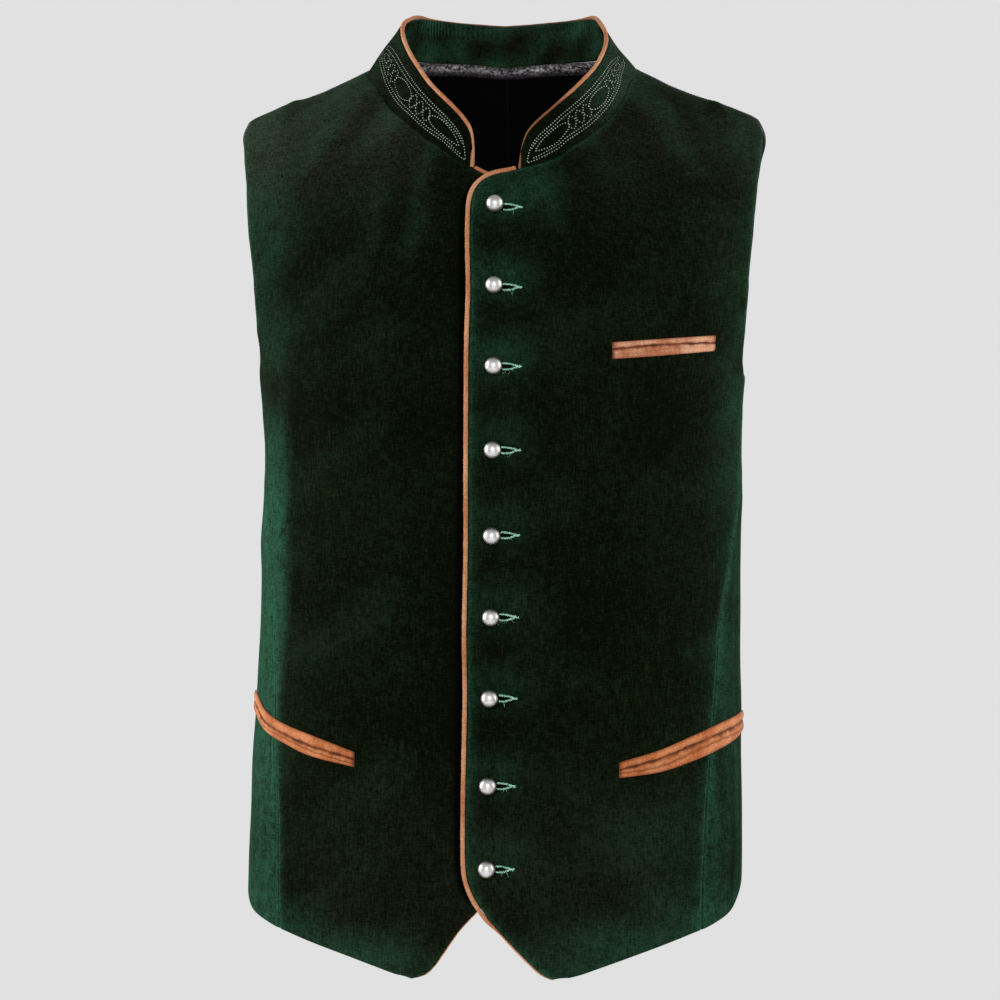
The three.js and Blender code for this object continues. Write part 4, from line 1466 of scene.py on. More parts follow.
@dataclass
class Pile:
    """Brushing and painted light of the velvet's pile: brushing at the lower edge and round the buttons,
    painted highlights beside seams and edges, painted sheen on the flanks, painted light and shade on folds,
    and painted shadow beside the closing.
    """

    cutting: Cutting
    seam_reach: float = 5.5
    hem_reach: float = 20.0
    halo_reach: float = 17.0

    def patched(self, side: Side, turn: Array, z: Array) -> Array:
        """Paler patches, from brushing by hand, wear and painted light, and darker patches of painted shade.

        Args:
            side: the wearer's side.
            turn: turns of the grid.
            z: heights of the grid.

        Returns:
            What is added to the brushing.
        """
        total = np.zeros(turn.shape)
        for patch in PATCHES:
            across = (side.value * np.abs(turn) - patch.turn) / patch.reach
            along = (z - patch.z) / patch.tall
            total += patch.strength * np.exp(-across * across - along * along)
        return total

    def greyed(self, side: Side, turn: Array, z: Array) -> Array:
        """Painted grey sheen at the shoulders, more on the wearer's right, and a little grey near the lower
        edge of the front.

        Args:
            side: the wearer's side.
            turn: turns of the grid.
            z: heights of the grid.

        Returns:
            How strong the grey is.
        """
        high = smoothstep(z, -135, -30) * smoothstep(np.abs(turn), 15, 50)
        low = 0.14 * smoothstep(-z, 480, 620) * (1 - smoothstep(np.abs(turn), 50, 62))
        return (0.74 if side is Side.RIGHT else 0.30) * high + low

    def by_slope(self, side: Side, turn: Array, z: Array, points: Array) -> Array:
        """Painted light and shade on folds: paler where a fold faces up, darker where it faces down.

        Args:
            side: the wearer's side.
            turn: turns of the grid.
            z: heights of the grid.
            points: the grid on the plain cloth.

        Returns:
            Changes of the painted light.
        """
        up = np.gradient(points, axis=0)
        across = np.gradient(points, axis=1) * side.value
        cloth = unit(np.cross(across, up))
        body = self.cutting.body.normal(turn, z)
        tilt = (cloth - body) @ np.array([0.35 * side.value, 0.0, 1.0])
        inner = np.ones_like(tilt)
        inner[:, :2] = 0
        inner[:, -2:] = 0
        return np.clip(1.7 * tilt, -0.3, 0.4) * inner

    def near_seams(self, away: Array, strength: float) -> Array:
        """Painted highlight beside a seam or an edge, by distance."""
        return strength * (0.75 * bell(away, self.seam_reach) + 0.9 * bell(away - 1.6, 0.8))

    def on_front(self, side: Side, turn: Array, z: Array, points: Array) -> Array:
        """Paler pile on a front: brushing at the lower edge and round the buttonholes, painted sheen on the
        flank and shoulder, and painted shadow beside the closing.

        Args:
            side: the wearer's side.
            turn: turns of the grid.
            z: heights of the grid.
            points: the grid on the plain cloth.

        Returns:
            The values of brushing and painted light.
        """
        total = 0.30 * bell(z - self.cutting.hem(np.abs(turn)), self.hem_reach)
        total += self.patched(side, turn, z)
        if side is Side.LEFT:
            # Painted sheen towards the flank, weaker towards the shoulder.
            flank = 0.27 * smoothstep(np.abs(turn), 56, 84)
            total += flank * (1 - 0.5 * smoothstep(z, -260, -110))
            for k, button in enumerate(BUTTONS):
                dx = (points[..., 0] - button.x - 4) / 1.35
                dz = points[..., 2] - button.z - 8
                total += (0.42 if k < 3 else 0.26) * bell(np.hypot(dx, dz), self.halo_reach)
            return total
        # Painted sheen on the flank, strongest between chest and pockets.
        begins = 62 + 1.5 * smoothstep(-z, 380, 480)
        flank = 0.14 + 0.70 * smoothstep(-z, 235, 335) - 0.36 * smoothstep(-z, 490, 570)
        total += flank * smoothstep(np.abs(turn) - begins, 0, 7)
        # Painted light at the top of the front, below the shoulder.
        total += 0.22 * smoothstep(z, -80, -30)
        # Painted shadow beside the closing, under the left front's piping.
        edge = np.interp(z, [p.z for p in LEFT_EDGE], [p.x for p in LEFT_EDGE])
        piping_shadow = bell(points[..., 0] - edge + 3.5, 5.5)
        return total - 1.15 * piping_shadow * smoothstep(z, -640, -600)


@dataclass
class ClothPanel:
    """A panel of the worn cloth: a thin wall on a grid of places."""

    cutting: Cutting
    side: Side
    step: float = 2.6

    def seam_relief(self, away: Array, along: Array, pucker: float = 0.22) -> Array:
        """The dip into a seam and the puckers beside it.

        Args:
            away: distance from the seam.
            along: distance along the seam.
            pucker: height of the puckers.

        Returns:
            Heights off the plain cloth.
        """
        dip = -0.75 * bell(away, 1.3)
        swell = 0.22 * bell(away - 3.4, 2.2)
        beat = np.sin(along / 1.9) * (0.5 + 0.5 * np.sin(along / 13.0 + 1.3))
        beat += 0.6 * np.sin(along / 3.3 + 2.0 * np.sin(along / 29.0))
        return dip + swell + pucker * beat * bell(away, 5.5)

    def cloth(self, turn: Array, z: Array, relief: Array) -> tuple[Array, Array]:
        """Outer and inner grids of the wall on a grid of places."""
        outer, normal = self.cutting.cloth.spot(self.side, turn, z)
        return outer + normal * relief[..., None], outer - normal * CLOTH + normal * (0.5 * relief[..., None])

    def laid(self, turn: Array, z: Array) -> tuple[Array, Array, Array, Array]:
        """The plain cloth on a grid of places, and how far it is from its borders.

        Args:
            turn: turns of the grid.
            z: heights of the grid.

        Returns:
            The points, then their distances from the first column, the last column and the top row.
        """
        plain, _ = self.cutting.cloth.spot(self.side, turn, z)
        borders = (plain[:, :1], plain[:, -1:], plain[-1:])
        return plain, *(np.linalg.norm(plain - border, axis=-1) for border in borders)


@dataclass
class Front(ClothPanel):
    """A velvet front, from its piped edge to the side seam and the armhole."""

    def places(self) -> tuple[Array, Array]:
        """The grid of places of the front.

        Returns:
            The turns and the heights.
        """
        cut, side = self.cutting, self.side
        edge, flank = shares(FRONT_ROWS, FINER)
        neck = cut.neckline(side, COLLAR_END[side], SHOULDER_TURN)
        first = walk(cut.free_edge(side), neck, edge)
        last = walk(cut.front_seam(side), cut.armhole(side, ARMHOLE_FRONT), flank)
        gap = -side.value * SEAM_GAP / 2
        seamed = np.arange(len(flank)) <= SEAM_ROWS * FINER
        last = (np.where(seamed, cut.nudge(*last, gap), last[0]), last[1])
        turn, z = cut.grid(first, last, columns_across(180, self.step))
        turn[-1] = cut.nudge(turn[-1], z[-1], gap)
        return turn, z

    def make(self) -> bpy.types.Object:
        """Builds the front and dresses it.

        Returns:
            The front.
        """
        turn, z = self.places()
        plain, from_edge, from_seam, from_shoulder = self.laid(turn, z)
        row = np.arange(len(turn))
        seamed = row <= SEAM_ROWS * FINER
        relief = 0.55 * self.seam_relief(from_edge, z, 0.1)
        relief += np.where(seamed[:, None], 1.0, 0.4) * self.seam_relief(from_seam, z)
        relief += 0.8 * self.seam_relief(from_shoulder, plain[..., 0], 0.3)
        quiet = np.where(np.abs(turn) < 11, np.minimum(relief, 0.25), relief)
        outer, inner = self.cloth(turn, z, quiet)
        pile = Pile(self.cutting)
        brushed = pile.on_front(self.side, turn, z, plain)
        # Painted light and shade on folds.
        brushed += pile.by_slope(self.side, turn, z, plain)
        # Painted highlights beside the seam and the free edge.
        brushed += pile.near_seams(from_seam, 0.34)
        brushed += pile.near_seams(from_edge, 0.34 if self.side is Side.LEFT else 0.1)
        below_neck = row < len(turn) - 1 - FRONT_ROWS[-1].rows * FINER
        flank = np.where(seamed, SEWN_EDGE, TURNED_HEM)
        lips = Lips(low=TURNED_HEM, last=flank, first=np.where(below_neck, 0.12, 0.1))
        mesh = wall_mesh(outer, inner, lips)
        piece = build_object(
            "cloth_front_" + self.side.label,
            mesh,
            [Finish.VELVET, Finish.LINING],
            brushed=spread(mesh, brushed, RIM_PILE, 0),
            greyed=spread(mesh, pile.greyed(self.side, turn, z), RIM_PILE, 0),
        )
        if self.side is Side.LEFT:
            Buttonholes(self.cutting).cut(piece)
        dress(piece, Slot.VELVET, "front_" + self.side.label)
        return piece


@dataclass
class SidePanel(ClothPanel):
    """A velvet panel under the arm."""

    step: float = 2.2

    def places(self) -> tuple[Array, Array]:
        """The grid of places of the side panel.

        Returns:
            The turns and the heights.
        """
        cut, side = self.cutting, self.side
        share = shares(FRONT_ROWS, FINER)[1][: SEAM_ROWS * FINER + 1]
        front = cut.front_seam(side).at(share)
        back = cut.side_seam(side).at(share)
        gap = side.value * SEAM_GAP / 2
        front = (cut.nudge(*front, gap), front[1])
        back = (cut.nudge(*back, -gap), back[1])
        across = columns_across(80, self.step)
        turn, z = cut.grid(front, back, across)
        dip = UNDERARM_DIP * smoothstep(np.linspace(0, 1, len(share)), 0.6, 1)
        return turn, z - dip[:, None] * np.sin(math.pi * across)

    def make(self) -> bpy.types.Object:
        """Builds the side panel and dresses it.

        Returns:
            The side panel.
        """
        turn, z = self.places()
        plain, from_front, from_back, _ = self.laid(turn, z)
        relief = self.seam_relief(from_front, z) + self.seam_relief(from_back, z, 0.3)
        outer, inner = self.cloth(turn, z, relief)
        pile = Pile(self.cutting)
        low = z - self.cutting.hem(np.abs(turn))
        # Painted sheen on the side panel, strong on the wearer's right, weaker near the lower edge.
        base = (0.30 if self.side is Side.LEFT else 0.82) * (1 - 0.42 * smoothstep(-z, 490, 580))
        drift = np.sin(z / 83.0) + 0.6 * np.sin(z / 37.0 + 1.0)
        streaks_and_light = 0.13 * np.sin(turn * 0.83 + 1.4 * drift) * np.sin(turn * 0.37 - z / 120.0)
        streaks_and_light += 0.05 * np.sin(turn * 2.3 + 2.1 * drift) * np.sin(z / 29.0 + turn)
        streaks_and_light += pile.patched(self.side, turn, z)
        # Painted light and shade of gathers beside the front seam.
        if self.side is Side.RIGHT:
            painted_gathers = bell(from_front, 9.0) * bell(z + 470, 110)
            streaks_and_light += 0.5 * painted_gathers * np.sin(from_front * 1.9 + np.sin(z / 23.0))
        # Painted light and shade on folds.
        streaks_and_light += pile.by_slope(self.side, turn, z, plain)
        brushed = base + streaks_and_light + 0.2 * bell(low, pile.hem_reach)
        # Painted highlights beside both seams.
        brushed += pile.near_seams(from_front, 0.3) + pile.near_seams(from_back, 0.25)
        mesh = wall_mesh(outer, inner, Lips(low=TURNED_HEM, high=TURNED_HEM))
        name = "cloth_side_" + self.side.label
        finishes = [Finish.VELVET, Finish.LINING]
        piece = build_object(name, mesh, finishes, brushed=spread(mesh, brushed, RIM_PILE, 0))
        dress(piece, Slot.VELVET, "side_" + self.side.label)
        return piece


@dataclass
class Back(ClothPanel):
    """A satin back, from the centre seam to the side seam and the armhole."""

    step: float = 2.8

    def places(self) -> tuple[Array, Array]:
        """The grid of places of the back.

        Returns:
            The turns and the heights.
        """
        cut, side = self.cutting, self.side
        edge, flank = shares(BACK_ROWS, FINER)
        z = np.linspace(cut.hem(180.0), cut.neck[Side.LEFT](180.0), 121)
        centre = Border(cut.body, np.full_like(z, side.value * 180.0), z)
        neck = cut.neckline(side, 180.0, SHOULDER_TURN)
        first = walk(centre, neck, edge)
        last = walk(cut.side_seam(side), cut.armhole(side, ARMHOLE_BACK), flank)
        gap = side.value * SEAM_GAP / 2
        first = (np.where(edge <= 1, cut.nudge(*first, -gap), first[0]), first[1])
        last = (np.where(flank <= 1, cut.nudge(*last, gap), last[0]), last[1])
        turn, z = cut.grid(first, last, columns_across(190, self.step))
        turn[-1] = cut.nudge(turn[-1], z[-1], gap)
        return turn, z

    def make(self) -> bpy.types.Object:
        """Builds the back and dresses it.

        Returns:
            The back.
        """
        turn, z = self.places()
        plain, from_centre, from_side, from_shoulder = self.laid(turn, z)
        row = np.arange(len(turn))[:, None]
        below_neck = row <= len(turn) - 1 - BACK_ROWS[-1].rows * FINER
        seamed = row <= SEAM_ROWS * FINER
        relief = np.where(below_neck, 1, 0.3) * self.seam_relief(from_centre, z, 0.3)
        relief += np.where(seamed, 1, 0.4) * self.seam_relief(from_side, z, 0.3)
        relief += 0.8 * self.seam_relief(from_shoulder, plain[..., 0], 0.3)
        outer, inner = self.cloth(turn, z, relief)
        lips = Lips(low=TURNED_HEM, last=np.where(seamed[:, 0], SEWN_EDGE, TURNED_HEM), first=0.32, high=0.3)
        name = "cloth_back_" + self.side.label
        piece = build_object(name, wall_mesh(outer, inner, lips), [Finish.SATIN, Finish.LINING])
        dress(piece, Slot.SATIN, "back_" + self.side.label)
        return piece


# Collar


class CollarForm:
    """The stand collar as a surface over the neckline."""

    RIGHT_HALF = 76.5
    LEFT_HALF = 78.5
    FRONT_DEPTH = 76.0
    BACK_DEPTH = 46.0
    CORD = 3.6
    ROLL_FROM = 100.0
    ROLL_TO = 146.0

    def __init__(self, cutting: Cutting) -> None:
        """Reads the upper edge as curves."""
        self.cutting = cutting
        self.top_turn, self.right, self.left = curves(COLLAR_EDGE)

    def roll(self, turn: Array) -> Array:
        """How far the piping has rolled from the rim onto the outer face."""
        return smoothstep(np.abs(turn), self.ROLL_FROM, self.ROLL_TO)

    def top(self, turn: Array) -> Array:
        """Points of the upper edge over places of the neckline.

        Args:
            turn: turns along the neckline.

        Returns:
            Points along a last axis of three.
        """
        above = self.top_turn(np.abs(turn))
        depth = np.where(above < 90, self.FRONT_DEPTH, self.BACK_DEPTH)
        height = np.where(turn > 0, self.left(np.abs(turn)), self.right(np.abs(turn)))
        spread = np.sin(np.radians(above)) * np.where(turn > 0, self.LEFT_HALF, -self.RIGHT_HALF)
        return np.stack([spread, -depth * np.cos(np.radians(above)), height], axis=-1)

    def foot(self, turn: Array) -> Array:
        """Points of the seam on the neckline.

        Args:
            turn: turns along the neckline.

        Returns:
            Points along a last axis of three.
        """
        cut = self.cutting
        points = np.empty(turn.shape + (3,))
        for side in Side:
            mine = np.sign(turn) == side.value
            z = cut.neck[side](np.abs(turn[mine]))
            points[mine] = cut.cloth.spot(side, turn[mine], z)[0]
        return points

    def point(self, turn: Array, share: Array) -> Array:
        """Points of the outer face at shares of its height.

        Args:
            turn: turns along the neckline.
            share: shares of the height.

        Returns:
            Points along a last axis of three.
        """
        turn, share = np.broadcast_arrays(np.asarray(turn, float), np.asarray(share, float))
        foot = self.foot(turn)
        top = self.top(turn)
        up = unit(top - foot)
        under = (self.CORD / 2 + SEAM_GAP) * (1 - self.roll(turn))
        foot = foot + up * SEAM_GAP
        top = top - up * under[..., None]
        around = unit(foot * np.array([1.0, 1.0, 0.0]))
        swell = COLLAR_SWELL * np.sin(math.pi * share)
        return foot + (top - foot) * share[..., None] + around * swell[..., None]

    def turns(self, count: int) -> Array:
        """Turns from the right front end round the back to the left front end."""
        right = -np.linspace(COLLAR_END[Side.RIGHT], 179.99, count)
        return np.concatenate([right, np.linspace(180, COLLAR_END[Side.LEFT], count)[1:]])

    @staticmethod
    def normals(points: Array) -> Array:
        """Unit normals out of a grid that runs round to the left and upwards."""
        return unit(np.cross(np.gradient(points, axis=0), np.gradient(points, axis=1)))


@dataclass
class Collar:
    """The velvet stand collar, its piping and the tape inside its seam."""

    form: CollarForm
    columns: int = 400
    rows: int = 30

    def _crumples(self, turn: Array, share: Array, reach: Array) -> Array:
        """Small upright crumples of the inner face at the back of the neck.

        Args:
            turn: turns of the grid.
            share: shares of the height.
            reach: lengths walked along it.

        Returns:
            How far the inner face stands out.
        """
        where = bell(turn + 122, 26) + 0.45 * bell(turn - 112, 22)
        beat = np.sin(reach / 0.62 + 1.5 * np.sin(reach / 7.0)) + 0.7 * np.sin(reach / 0.97)
        fade = smoothstep(share, 0.45, 0.8) * (1 - smoothstep(share, 0.93, 1.0))
        slow = 0.35 * np.sin(reach / 9.0) * np.sin(share * 5 + reach / 21.0)
        inside = smoothstep(np.abs(turn), 60, 100)
        return 0.24 * beat * fade * where + slow * inside

    def make(self) -> bpy.types.Object:
        """Builds the collar and dresses it.

        Returns:
            The collar.
        """
        turn = self.form.turns(self.columns)[None, :]
        share = np.linspace(0, 1, self.rows + 1)[:, None]
        outer = self.form.point(turn, share)
        normal = self.form.normals(outer)
        reach = walked(outer[0])[None, :]
        crumple = self._crumples(turn, share, reach)
        inner = outer - normal * (COLLAR_CLOTH + crumple[..., None])
        tall = np.linalg.norm(outer[-1] - outer[0], axis=-1)[None, :]
        from_foot = share * tall
        from_top = tall - from_foot
        slow = 0.14 * np.sin(reach / 11.0 + 2 * share) * np.sin(math.pi * share)
        relief = slow - 0.35 * bell(from_top, 1.2) - 0.3 * bell(from_foot, 1.0)
        mesh = wall_mesh(outer + normal * relief[..., None], inner, Lips(0.45, 0.2, 0.2, 0.2))
        leftness = 0.5 + 0.5 * np.sin(np.radians(turn))
        away = np.abs(turn) + 0 * share
        far = smoothstep(away, 38, 78)
        # Painted sheen and highlight on the outer face: a highlight along the top edge, paler towards the
        # back and on the wearer's left, darker towards the front ends, most on the wearer's right.
        brushed = 0.14 * bell(from_top, 4.0) - (0.42 - 0.34 * leftness) * (1 - far)
        brushed = brushed + (0.06 + 0.36 * leftness) * far + 0.10 * np.sin(reach / 17.0) * np.sin(3 * share)
        # Painted grey sheen over the sides of the collar, stronger on the wearer's left.
        grey_sheen_mask = (0.16 + 0.42 * leftness) * smoothstep(away, 30, 74) * (1 - smoothstep(away, 100, 130))
        # Inner face: painted highlights on pleats at the back of the neck, with tone that changes slowly
        # along it.
        pleat_highlight = 0.5 + 0.5 * np.sin((reach - 5 * share) / 0.5 + 1.5 * np.sin(reach / 7.0))
        pleat_highlight_reach = 1.6 * bell(turn + 131, 9) + 0.5 * bell(turn + 152, 20) + 0.4 * bell(turn - 126, 15)
        inside_tone_and_highlight = 0.26 + pleat_highlight * pleat_highlight_reach * smoothstep(share, 0.55, 0.85)
        inside_tone_and_highlight = inside_tone_and_highlight + 0.26 * np.sin(reach / 15.0 + 3 * share) * np.sin(reach / 6.1 - 4 * share)
        inside_tone_and_highlight = inside_tone_and_highlight + 0.16 * np.sin(reach / 31.0 + 5 * share)
        greyed = spread(mesh, grey_sheen_mask, RIM_PILE, 0.16)
        fields = {"brushed": spread(mesh, brushed, RIM_PILE, inside_tone_and_highlight), "greyed": greyed}
        piece = build_object("cloth_collar", mesh, [Finish.VELVET, Finish.VELVET], **fields)
        dress(piece, Slot.VELVET, "collar")
        return piece

    def rim(self) -> tuple[Array, Array, Array, Array, Array]:
        """Points, normals, inward directions, roll and turns along the free rim.

        Returns:
            The five arrays, with a row for each station.
        """
        turn = self.form.turns(self.columns)
        share = np.linspace(0, 1, 9)
        points = self.form.point(turn[None, :], share[:, None])
        normal = self.form.normals(points)
        rows = len(share) - 1

        def ends(column: int, beside: int) -> tuple[Array, Array, Array]:
            """The upright end of the collar at one column."""
            inward = unit(points[:rows, beside] - points[:rows, column])
            return points[:rows, column], normal[:rows, column], inward

        rise = ends(0, 1)
        fall = tuple(part[::-1] for part in ends(-1, -2))
        crown = (points[rows], normal[rows], unit(points[rows - 1] - points[rows]))
        parts = [np.concatenate(group) for group in zip(rise, crown, fall)]
        rolled = self.form.roll(turn)
        roll = np.concatenate([np.zeros(rows), rolled, np.zeros(rows)])
        turns = np.concatenate([np.full(rows, turn[0]), turn, np.full(rows, turn[-1])])
        return parts[0], parts[1], parts[2], roll, turns

    def make_piping(self) -> bpy.types.Object:
        """Builds the piping round the ends and the upper edge.

        Returns:
            The piping.
        """
        points, normal, inward, roll, turn = self.rim()
        centre, out, level = rim_stations(points, normal, inward, self.form.CORD, -COLLAR_CLOTH / 2)
        close = self.form.CORD / 2 + SEAM_GAP
        half = COLLAR_CLOTH / 2
        turned_away = np.where(turn > 0, 1 - smoothstep(np.abs(turn), 32, 58), 0)
        slim = (self.form.CORD - 0.4 - 0.7 * roll) * (1 - 0.36 * turned_away)
        away = slim / 2 + 0.1 - 0.15 * roll
        corner = centre + level * half - out * close
        angle = smoothstep(roll, 0.2, 0.8) * (math.pi / 2)
        before = half * (1 - smoothstep(roll, 0, 0.3))
        after = 1.15 * smoothstep(roll, 0.5, 1)
        centre = corner + out * (away * np.cos(angle) - after)[:, None]
        centre = centre + level * (away * np.sin(angle) - before)[:, None]
        centre = smoothed(smoothed(centre, 4), 4)
        stations = (centre, unit(smoothed(out, 8)), unit(smoothed(level, 8)))
        # Painted shade on the piping where it rolls to the back and where it turns away on the wearer's left.
        shade = 0.62 * roll + 0.5 * turned_away
        nodes = ("piping_collar", "cloth_collar")
        return make_cord("piping_round_collar", stations, (slim, slim), nodes, shade)

    def make_tape(self) -> bpy.types.Object:
        """Builds the satin tape that covers the collar seam inside the back.

        Returns:
            The tape.
        """
        start = 112.0
        turn = np.linspace(start, 360 - start, 150)[None, :]
        share = np.linspace(0, 1, 9)[:, None]
        neck = self.form.cutting.neck[Side.LEFT](180 - np.abs(180 - turn))
        z = neck - 5.6 + 7.4 * share + 0.35 * np.sin(turn * 1.7) * (1 - share)
        lift = -COLLAR_CLOTH - 0.5 + 0.18 * np.sin(turn * 3.1) * np.sin(math.pi * share)
        outer, normal = self.form.cutting.cloth.spot(Side.LEFT, turn, z, lift)
        puff = 0.28 * np.sin(math.pi * share) + 0.16 * np.sin(turn * 5.3 + 2 * share)
        mesh = wall_mesh(outer, outer - normal * (1.0 + puff)[..., None], Lips(0.3, 0.1, 0.2, 0.2))
        # Painted light on the tape: bright a little above its middle, dark at its lower edge, with slow
        # changes along the neck.
        glow = 0.05 + 1.05 * bell(share - 0.68, 0.27)
        glow = glow * (0.78 + 0.3 * np.sin(turn * 0.33) * np.sin(turn * 0.13))
        lit = spread(mesh, glow, 0.2, glow)
        piece = build_object("tape_inside_neck", mesh, [Finish.TAPE, Finish.TAPE], lit=lit)
        dress(piece, Slot.TAPE, "neck_tape")
        return piece


def rim_stations(
    points: Array, normal: Array, inward: Array, width: float, depth: float
) -> tuple[Array, Array, Array]:
    """Stations of a cord that lies just outside a rim of the cloth.

    Args:
        points: the rim.
        normal: the way out of the cloth.
        inward: the way from the rim into the cloth.
        width: width of the cord.
        depth: how far its middle lies under the outer face.

    Returns:
        Centres, outward directions and level normals.
    """
    after = np.concatenate([points[1:], points[-1:]])
    before = np.concatenate([points[:1], points[:-1]])
    along = unit(after - before)
    out = unit(np.cross(along, normal))
    out = np.where((dots(out, inward) > 0)[:, None], -out, out)
    level = unit(normal - along * dots(normal, along)[:, None])
    centre = points + out * (width / 2 + SEAM_GAP) + level * depth
    return centre, out, level


def button_frame(body: BodyForm, place: EdgePoint) -> tuple[Array, Array, Array, Array]:
    """Where a button stands on the body.

    Args:
        body: the torso.
        place: the button's place, seen from the front.

    Returns:
        The foot, and the button's right, up and outward directions.
    """
    turn = body.turn_at(place.x, place.z)
    normal = body.normal(turn, place.z)
    across = unit(np.array([1.0, 0, 0]) - normal * normal[0])
    return body.point(turn, place.z), across, np.cross(normal, across), normal


def make_cord(
    name: str,
    stations: tuple[Array, Array, Array],
    section: tuple[Number, Number],
    nodes: tuple[str, str],
    shade: Number = 0.0,
) -> bpy.types.Object:
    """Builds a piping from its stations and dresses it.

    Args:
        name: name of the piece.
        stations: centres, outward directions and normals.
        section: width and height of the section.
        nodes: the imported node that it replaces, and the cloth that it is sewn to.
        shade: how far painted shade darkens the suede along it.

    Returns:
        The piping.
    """
    sides = 16
    reach = walked(stations[0])
    even = 1 + 0.035 * np.sin(reach / 4.1) + 0.03 * np.sin(reach / 1.7 + 2 * np.sin(reach / 23))
    width, height = section[0] * even, section[1] * even
    skin = cord_mesh(*stations, width, height, sides)
    core = cord_mesh(*stations, width - 2 * SUEDE_WALL, height - 2 * SUEDE_WALL, sides)

    def along(values: Array) -> Array:
        """Values along the cord given to every point of its skin and core."""
        values = np.concatenate([np.repeat(values[:1], 3), values, np.repeat(values[-1:], 3)])
        return np.tile(np.repeat(np.clip(values, 0, 1), sides), 2)

    worn = 0.45 + 0.45 * np.sin(reach / 37.0 + 0.6) * np.sin(reach / 11.0)
    # Painted shade along the cord; the rubbed patches give way to it.
    dark = np.broadcast_to(shade, reach.shape)
    fields = {"worn": along(worn * (1 - dark)), "painted_shade": along(dark)}
    piece = build_object(name, skin.around(core), [Finish.PIPING], **fields)
    node, carrier = nodes
    dress(piece, Slot.SUEDE, node)
    return piece


@dataclass
class FrontPiping:
    """Tan piping along the free edge of a front."""

    cutting: Cutting
    side: Side
    width: float = 3.3
    height: float = 2.8
    short_of_neck: float = 4.5
    tuck_from: ClassVar[dict[Side, float]] = {Side.LEFT: 612.0, Side.RIGHT: 582.0}
    shown: ClassVar[dict[Side, float]] = {Side.LEFT: 1.5, Side.RIGHT: 0.8}

    def make(self) -> bpy.types.Object:
        """Builds the piping and dresses it.

        Returns:
            The piping.
        """
        edge = self.cutting.free_edge(self.side)
        length = edge.reach[-1]
        last = 1 - self.short_of_neck / length
        turn, z = edge.at(np.linspace(0, last, 330))
        cloth = self.cutting.cloth
        points, normal = cloth.spot(self.side, turn, z)
        beside, _ = cloth.spot(self.side, turn + self.side.value * 1.5, z)
        depth = -0.6 if self.side is Side.LEFT else -1.5
        centre, out, level = rim_stations(points, normal, unit(beside - points), self.width, depth)
        tuck = smoothstep(-z, self.tuck_from[self.side], self.tuck_from[self.side] + 26)
        down = (depth + CLOTH + self.height / 2 + 0.15) * smoothstep(tuck, 0, 0.6)
        aside = self.width / 2 + SEAM_GAP
        inward = (aside + self.width / 2 - self.shown[self.side]) * smoothstep(tuck, 0.5, 1.0)
        centre = smoothed(centre - level * down[:, None] - out * inward[:, None], 2)
        stations = (centre, unit(smoothed(out, 3)), unit(smoothed(level, 3)))
        full = 0.62 + 0.38 * smoothstep(np.linspace(0, last * length, len(centre)), 0, 12)
        label = self.side.label
        nodes = ("piping_front_" + label, "cloth_front_" + label)
        return make_cord("piping_" + label, stations, (self.width * full, self.height * full), nodes)


# Pockets


